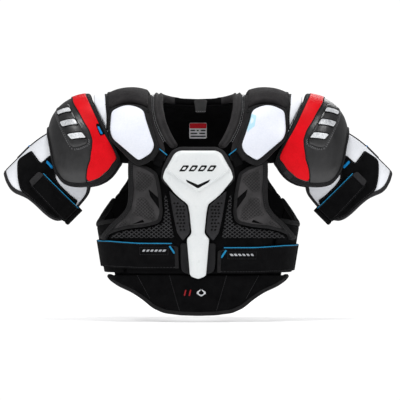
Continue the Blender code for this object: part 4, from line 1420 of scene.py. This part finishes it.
def cap_relief(pod):
    """A ridge round the pod and a soft dome below it."""

    def relief(flat, deep):
        return groove(flat, [pod], 1.4, 2.2) + 1.2 * ramp(deep, 6.0, 30.0)

    return relief


def shoulder_cap(word, hand):
    body = word + "_cap"
    rim, pod = cap_rim(), on_dome(POD)
    shape = slab(rim, dome, -5.0, 0.0, 5.0, 2.4, radius=12.0, relief=cap_relief(ring(pod)))
    piece(word + "_cap_leather", shape, GREY_LEATHER, body, [word + "_cap_shell"], hand)
    tape = binding(rim, dome, -5.2, 0.6, 7.6, 1.1, radius=12.0)
    piece(word + "_cap_binding", tape, TAPE, body, hand=hand)
    piece(word + "_cap_binding_stitches", dashes(rim, dome, 2.1, True, 6.4, radius=12.0), DARK_THREAD, body,
          hand=hand)

    band = red_band()
    piece(word + "_red_band", slab(band, dome, 0.2, 3.2, 4.5, 1.4, radius=12.0), RED_LEATHER, body,
          [word + "_cap_accent"], hand)
    edge = on_dome([(240, 4)] + RED_OUTER)
    rows = [dashes(edge, dome, 1.4, False, -2.2), dashes(edge * (-1, 1), dome, 1.4, False, 2.2)]
    piece(word + "_red_band_stitches", rows, LIGHT_THREAD, body, hand=hand)
    trim = [strip(edge * (way, 1), dome, [(-1.6, 1.0), (1.2, 1.0), (1.2, 3.3), (-0.4, 3.6), (-1.6, 2.6),
                                          (-1.8, 1.6)], False, turn=way) for way in (1, -1)]
    piece(word + "_red_band_trim", trim, TAPE, body, hand=hand)

    shape = slab(pod, dome, 0.0, 4.6, 3.0, 3.6, crown=1.8, crown_width=16.0, radius=7.0)
    piece(word + "_pod_leather", shape, POD_LEATHER, body, [word + "_cap_pod"], hand)
    lower = on_dome(POD[:8])
    rows = [dashes(lower, dome, 1.4, False, off, turn=-1, thick=0.4) for off in (-2.0, -4.0)]
    piece(word + "_pod_stitches", rows, LIGHT_THREAD, body, hand=hand)
    axis = on_dome([(224, -74), (253, -18)])
    way = axis[1] - axis[0]
    outlines, fills = [], []
    for share, size in ((0.08, (15.0, 28.0)), (0.47, (15.0, 28.0)), (0.86, (14.0, 25.0))):
        bar = slanted(axis[0] + way * share, way, size, 5.0)
        outlines.append(slab(bar, dome, 4.6, 6.9, 2.5, 0.5, radius=1.5))
        fills.append(slab(inset(bar, 2.4), dome, 5.4, 7.5, 2.5, 0.5, radius=1.0))
    piece(word + "_pod_motif_outlines", outlines, BLACK_PLASTIC, body, hand=hand)
    piece(word + "_pod_motif_fills", fills, SILVER, body, hand=hand)

    foam = around([(0, -72), (50, -64), (62, -40), (52, -24), (0, -20)])
    made = piece(word + "_cap_foam", slab(foam, dome, -14.0, -6.0, 5.0, 3.0, radius=10.0), BLACK_FOAM, body,
                 [word + "_cap_liner"], hand)
    if hand < 0:
        flag = on_dome([(193, -47), (184, -47), (175, -66), (184, -70)])
        piece(word + "_cap_flag", slab(flag, dome, 1.2, 4.0, 2.5, 0.5, radius=1.0), BLACK_BRUSHED, body,
              hand=hand)
        bar = on_dome([(190, -52), (186.5, -52), (179, -66), (183, -67)])
        piece(word + "_cap_flag_bar", slab(bar, dome, 3.4, 4.4, 2.0, 0.3, radius=0.8), BLUE_FABRIC, body,
              hand=hand)
    else:
        join = on_dome([(161, -139), (167, -146), (173, -151)])
        tape = binding(join, dome, -5.4, 0.9, 8.2, 1.5, closed=False)
        piece(word + "_binding_join", tape, GREY_TAPE, body, hand=hand)


# ---- Upper arm guards ----


GUARD_HEM = [(167, -73), (171, -64), (174, -51), (173, -39), (168, -27), (163, -13), (161, 6), (161, 32),
             (159, 50), (153, 60), (141, 66), (126, 69)]
GUARD_TOP = [(153, 106), (150, 76), (140, 62), (110, 46), (60, 40)]
OVERLAY = [(94, -71), (98, -41), (75, -40), (62, -24), (98, -3), (101.5, 14), (101.5, 41), (99, 58),
           (128, 62), (150, 55), (157, 40), (158, 6), (160, -14), (162, -32), (155, -45), (138, -66),
           (128, -75.5), (122, -77)]
ARM_STRAP = (108.0, 147.0)
ARM_STRAP_END = 74.0
ARM_STRAP_HINGE = 148.0


def arm_guard(word, hand):
    body = word + "_bicep"
    half = np.concatenate([[(0, 161)], arm_front(GUARD_HEM), arm_degrees(GUARD_TOP), [(0, 38)]])
    outline = around(half)
    shape = slab(outline, arm, -9.0, -0.4, 6.0, 4.0, radius=8.0)
    made = piece(word + "_guard_pad", shape, WHITE_FABRIC, body, [word + "_bicep_guard"],
                 hand)
    tape = binding(outline, arm, -9.2, -0.2, 6.5, 1.1, radius=8.0)
    piece(word + "_guard_binding", tape, GREY_TAPE, body, hand=hand)
    over = arm_front(OVERLAY)
    sides = [over, (over * (-1, 1))[::-1]]
    shapes = [slab(shape, arm, -0.8, 2.2, 4.5, 1.0, radius=4.0) for shape in sides]
    piece(word + "_guard_overlay", shapes, BLACK_BRUSHED, body, [word + "_bicep_overlay"],
          hand)
    rows = [dashes(shape, arm, 2.3, True, 2.5) for shape in sides]
    piece(word + "_guard_stitches", rows, DARK_THREAD, body, hand=hand)
    seams = [tube(np.array([(0.0, start), (0.0, end)]), arm, 0.6, thick)
             for start, end, thick in ((46, 91, 1.3), (93, 124, 2.2), (124, 156, 0.9))]
    piece(word + "_guard_ridge", seams, TAPE, body, hand=hand)
    tab = arm_front([(85.5, -36), (90.5, -35), (91, -18), (86, -18)])
    shapes = [slab(tab, arm, 2.0, 4.0, 2.5, 0.7, radius=2.2)]
    ridge_tab = np.array([(-4.0, 90.5), (4.0, 90.5), (4.0, 94.0), (-4.0, 94.0)])
    shapes.append(slab(ridge_tab, arm, 0.4, 3.2, 2.5, 0.6, radius=0.8))
    piece(word + "_guard_tab", shapes, BLUE_FABRIC, body, hand=hand)

    a0, a1 = ARM_STRAP
    loop = arm_degrees([(ARM_STRAP_HINGE + 2, a0), (282, a0), (282, a1), (ARM_STRAP_HINGE + 2, a1)])
    piece(word + "_strap_back", slab(loop, arm_loop, 4.5, 7.5, 4.0, 1.2, radius=3.0), WEBBING, body,
          [word + "_bicep_strap_loop"], hand)
    flap = word + "_bicep_flap"
    loose = arm_degrees([(ARM_STRAP_END, a0), (ARM_STRAP_HINGE, a0), (ARM_STRAP_HINGE, a1),
                         (ARM_STRAP_END, a1 - 4)])
    piece(word + "_flap_band", slab(loose, arm, 4.5, 7.5, 4.0, 1.2, radius=4.0), WEBBING, flap,
          [word + "_bicep_strap"], hand)
    edge = arm_degrees([(ARM_STRAP_END + 2, a0 + 0.4), (ARM_STRAP_HINGE, a0 + 0.4)])
    piece(word + "_flap_piping", tube(edge, arm, 7.4, 0.75), BLUE_PIPING, flap, hand=hand)
    end = arm_degrees([(ARM_STRAP_END - 4, a0 + 4), (ARM_STRAP_END + 4, a0 + 1), (ARM_STRAP_END + 4, a1 - 7),
                       (ARM_STRAP_END - 4, a1 - 9)])
    piece(word + "_flap_tab", slab(end, arm, 7.0, 9.4, 3.0, 1.0, radius=3.0), GREY_TAPE, flap,
          hand=hand)
    seam = arm_degrees([(ARM_STRAP_HINGE - 4, a0 + 1), (ARM_STRAP_HINGE + 6, a0 + 1),
                        (ARM_STRAP_HINGE + 6, a1 - 1), (ARM_STRAP_HINGE - 4, a1 - 1)])
    ends = [arm(*arm_degrees([(ARM_STRAP_HINGE + turn, (a0 + a1) / 2)])[0], 4.0) for turn in (2.5, -0.5)]
    shape = slab(seam, arm, 3.4, 4.3, 3.0, 0.3, radius=1.0)
    web(word + "_flap_web", shape, WEBBING, (body, flap), *ends, hand)
    rows = [dashes(loose, arm, 7.6, True, 3.0, radius=3.0)]
    piece(word + "_flap_stitches", rows, DARK_THREAD, flap, hand=hand)


# ---- Floor, light and camera ----


FLOOR_HALF = 1.6
FLOOR_GLOW = 0.46
FLOOR_GAP = 0.012
WORLD_LIGHT = 0.24
WORLD_SEEN = 1.05
VIEW_WIDTH = 0.760
VIEW_CENTRE = Vector((0.0038, -0.060, -0.190))
VIEW_DISTANCE = 6.0
SENSOR_WIDTH = 36.0
LIT_POINT = Vector((0.0, 0.0, -0.15))

# Name, place, disc size in metres and power of each lamp
LAMPS = [("key", (-1.6, -1.9, 2.0), 0.9, 35.0), ("fill", (1.8, -1.8, 1.5), 1.0, 24.0),
         ("top", (0.0, -0.3, 2.5), 1.0, 29.0), ("back", (0.4, 2.0, 1.2), 1.6, 17.0)]


def stage():
    """A pale floor under the whole scene, bright enough to have no far edge."""
    paint = Paint("pale_floor", 0.9, specular=0.1)
    glow = paint.colour((0.90, 0.90, 0.905), (0.93, 0.93, 0.935), 0.4, 0.05)
    paint.tree.links.new(glow, paint.shader.inputs["Emission Color"])
    paint.shader.inputs["Emission Strength"].default_value = FLOOR_GLOW
    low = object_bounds()[0][2] - FLOOR_GAP
    mesh = bpy.data.meshes.new("floor")
    corners = [(x * FLOOR_HALF, y * FLOOR_HALF, low) for x, y in ((-1, -1), (1, -1), (1, 1), (-1, 1))]
    mesh.from_pydata(corners, [], [(0, 1, 2, 3)])
    mesh.materials.append(paint.made)
    floor = bpy.data.objects.new("floor", mesh)
    bpy.context.scene.collection.objects.link(floor)
    floor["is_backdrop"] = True


def area_light(name, place, size, power):
    light = bpy.data.lights.new(name, "AREA")
    light.shape = "DISK"
    light.size = size
    light.energy = power
    lamp = bpy.data.objects.new(name, light)
    lamp.location = place
    way = LIT_POINT - Vector(place)
    lamp.rotation_euler = way.to_track_quat("-Z", "Y").to_euler()
    bpy.context.scene.collection.objects.link(lamp)


def studio_world():
    """An even pale surround, dimmer as a light than as a background."""
    world = bpy.data.worlds.new("studio")
    world.use_nodes = True
    tree = world.node_tree
    surround = tree.nodes["Background"]
    surround.inputs["Color"].default_value = (1.0, 1.0, 1.0, 1.0)
    ray = tree.nodes.new("ShaderNodeLightPath")
    strength = tree.nodes.new("ShaderNodeMapRange")
    strength.inputs["To Min"].default_value = WORLD_LIGHT
    strength.inputs["To Max"].default_value = WORLD_SEEN
    tree.links.new(ray.outputs["Is Camera Ray"], strength.inputs["Value"])
    tree.links.new(strength.outputs["Result"], surround.inputs["Strength"])
    bpy.context.scene.world = world


def camera_and_light():
    camera = bpy.data.cameras.new("camera")
    camera.sensor_width = SENSOR_WIDTH
    camera.lens = camera.sensor_width * VIEW_DISTANCE / VIEW_WIDTH
    eye = bpy.data.objects.new("camera", camera)
    eye.location = VIEW_CENTRE - Vector((0.0, VIEW_DISTANCE, 0.0))
    eye.rotation_euler = (math.pi / 2, 0.0, 0.0)
    bpy.context.scene.collection.objects.link(eye)
    bpy.context.scene.camera = eye
    studio_world()
    for lamp in LAMPS:
        area_light(*lamp)
    bpy.context.scene.view_settings.view_transform = "Standard"


chest_middle()
collar()
hang_loop()
back_middle()
size_label()
belly()
PAIRED_PARTS = (chest_side, shoulder_yoke, shoulder_cover, shoulder_arch, clavicle, cushion, rib_wing,
                chest_strap, shoulder_cap, arm_guard)
for side_name, side_hand in SIDES:
    for paired_part in PAIRED_PARTS:
        paired_part(side_name, side_hand)
stage()
camera_and_light()
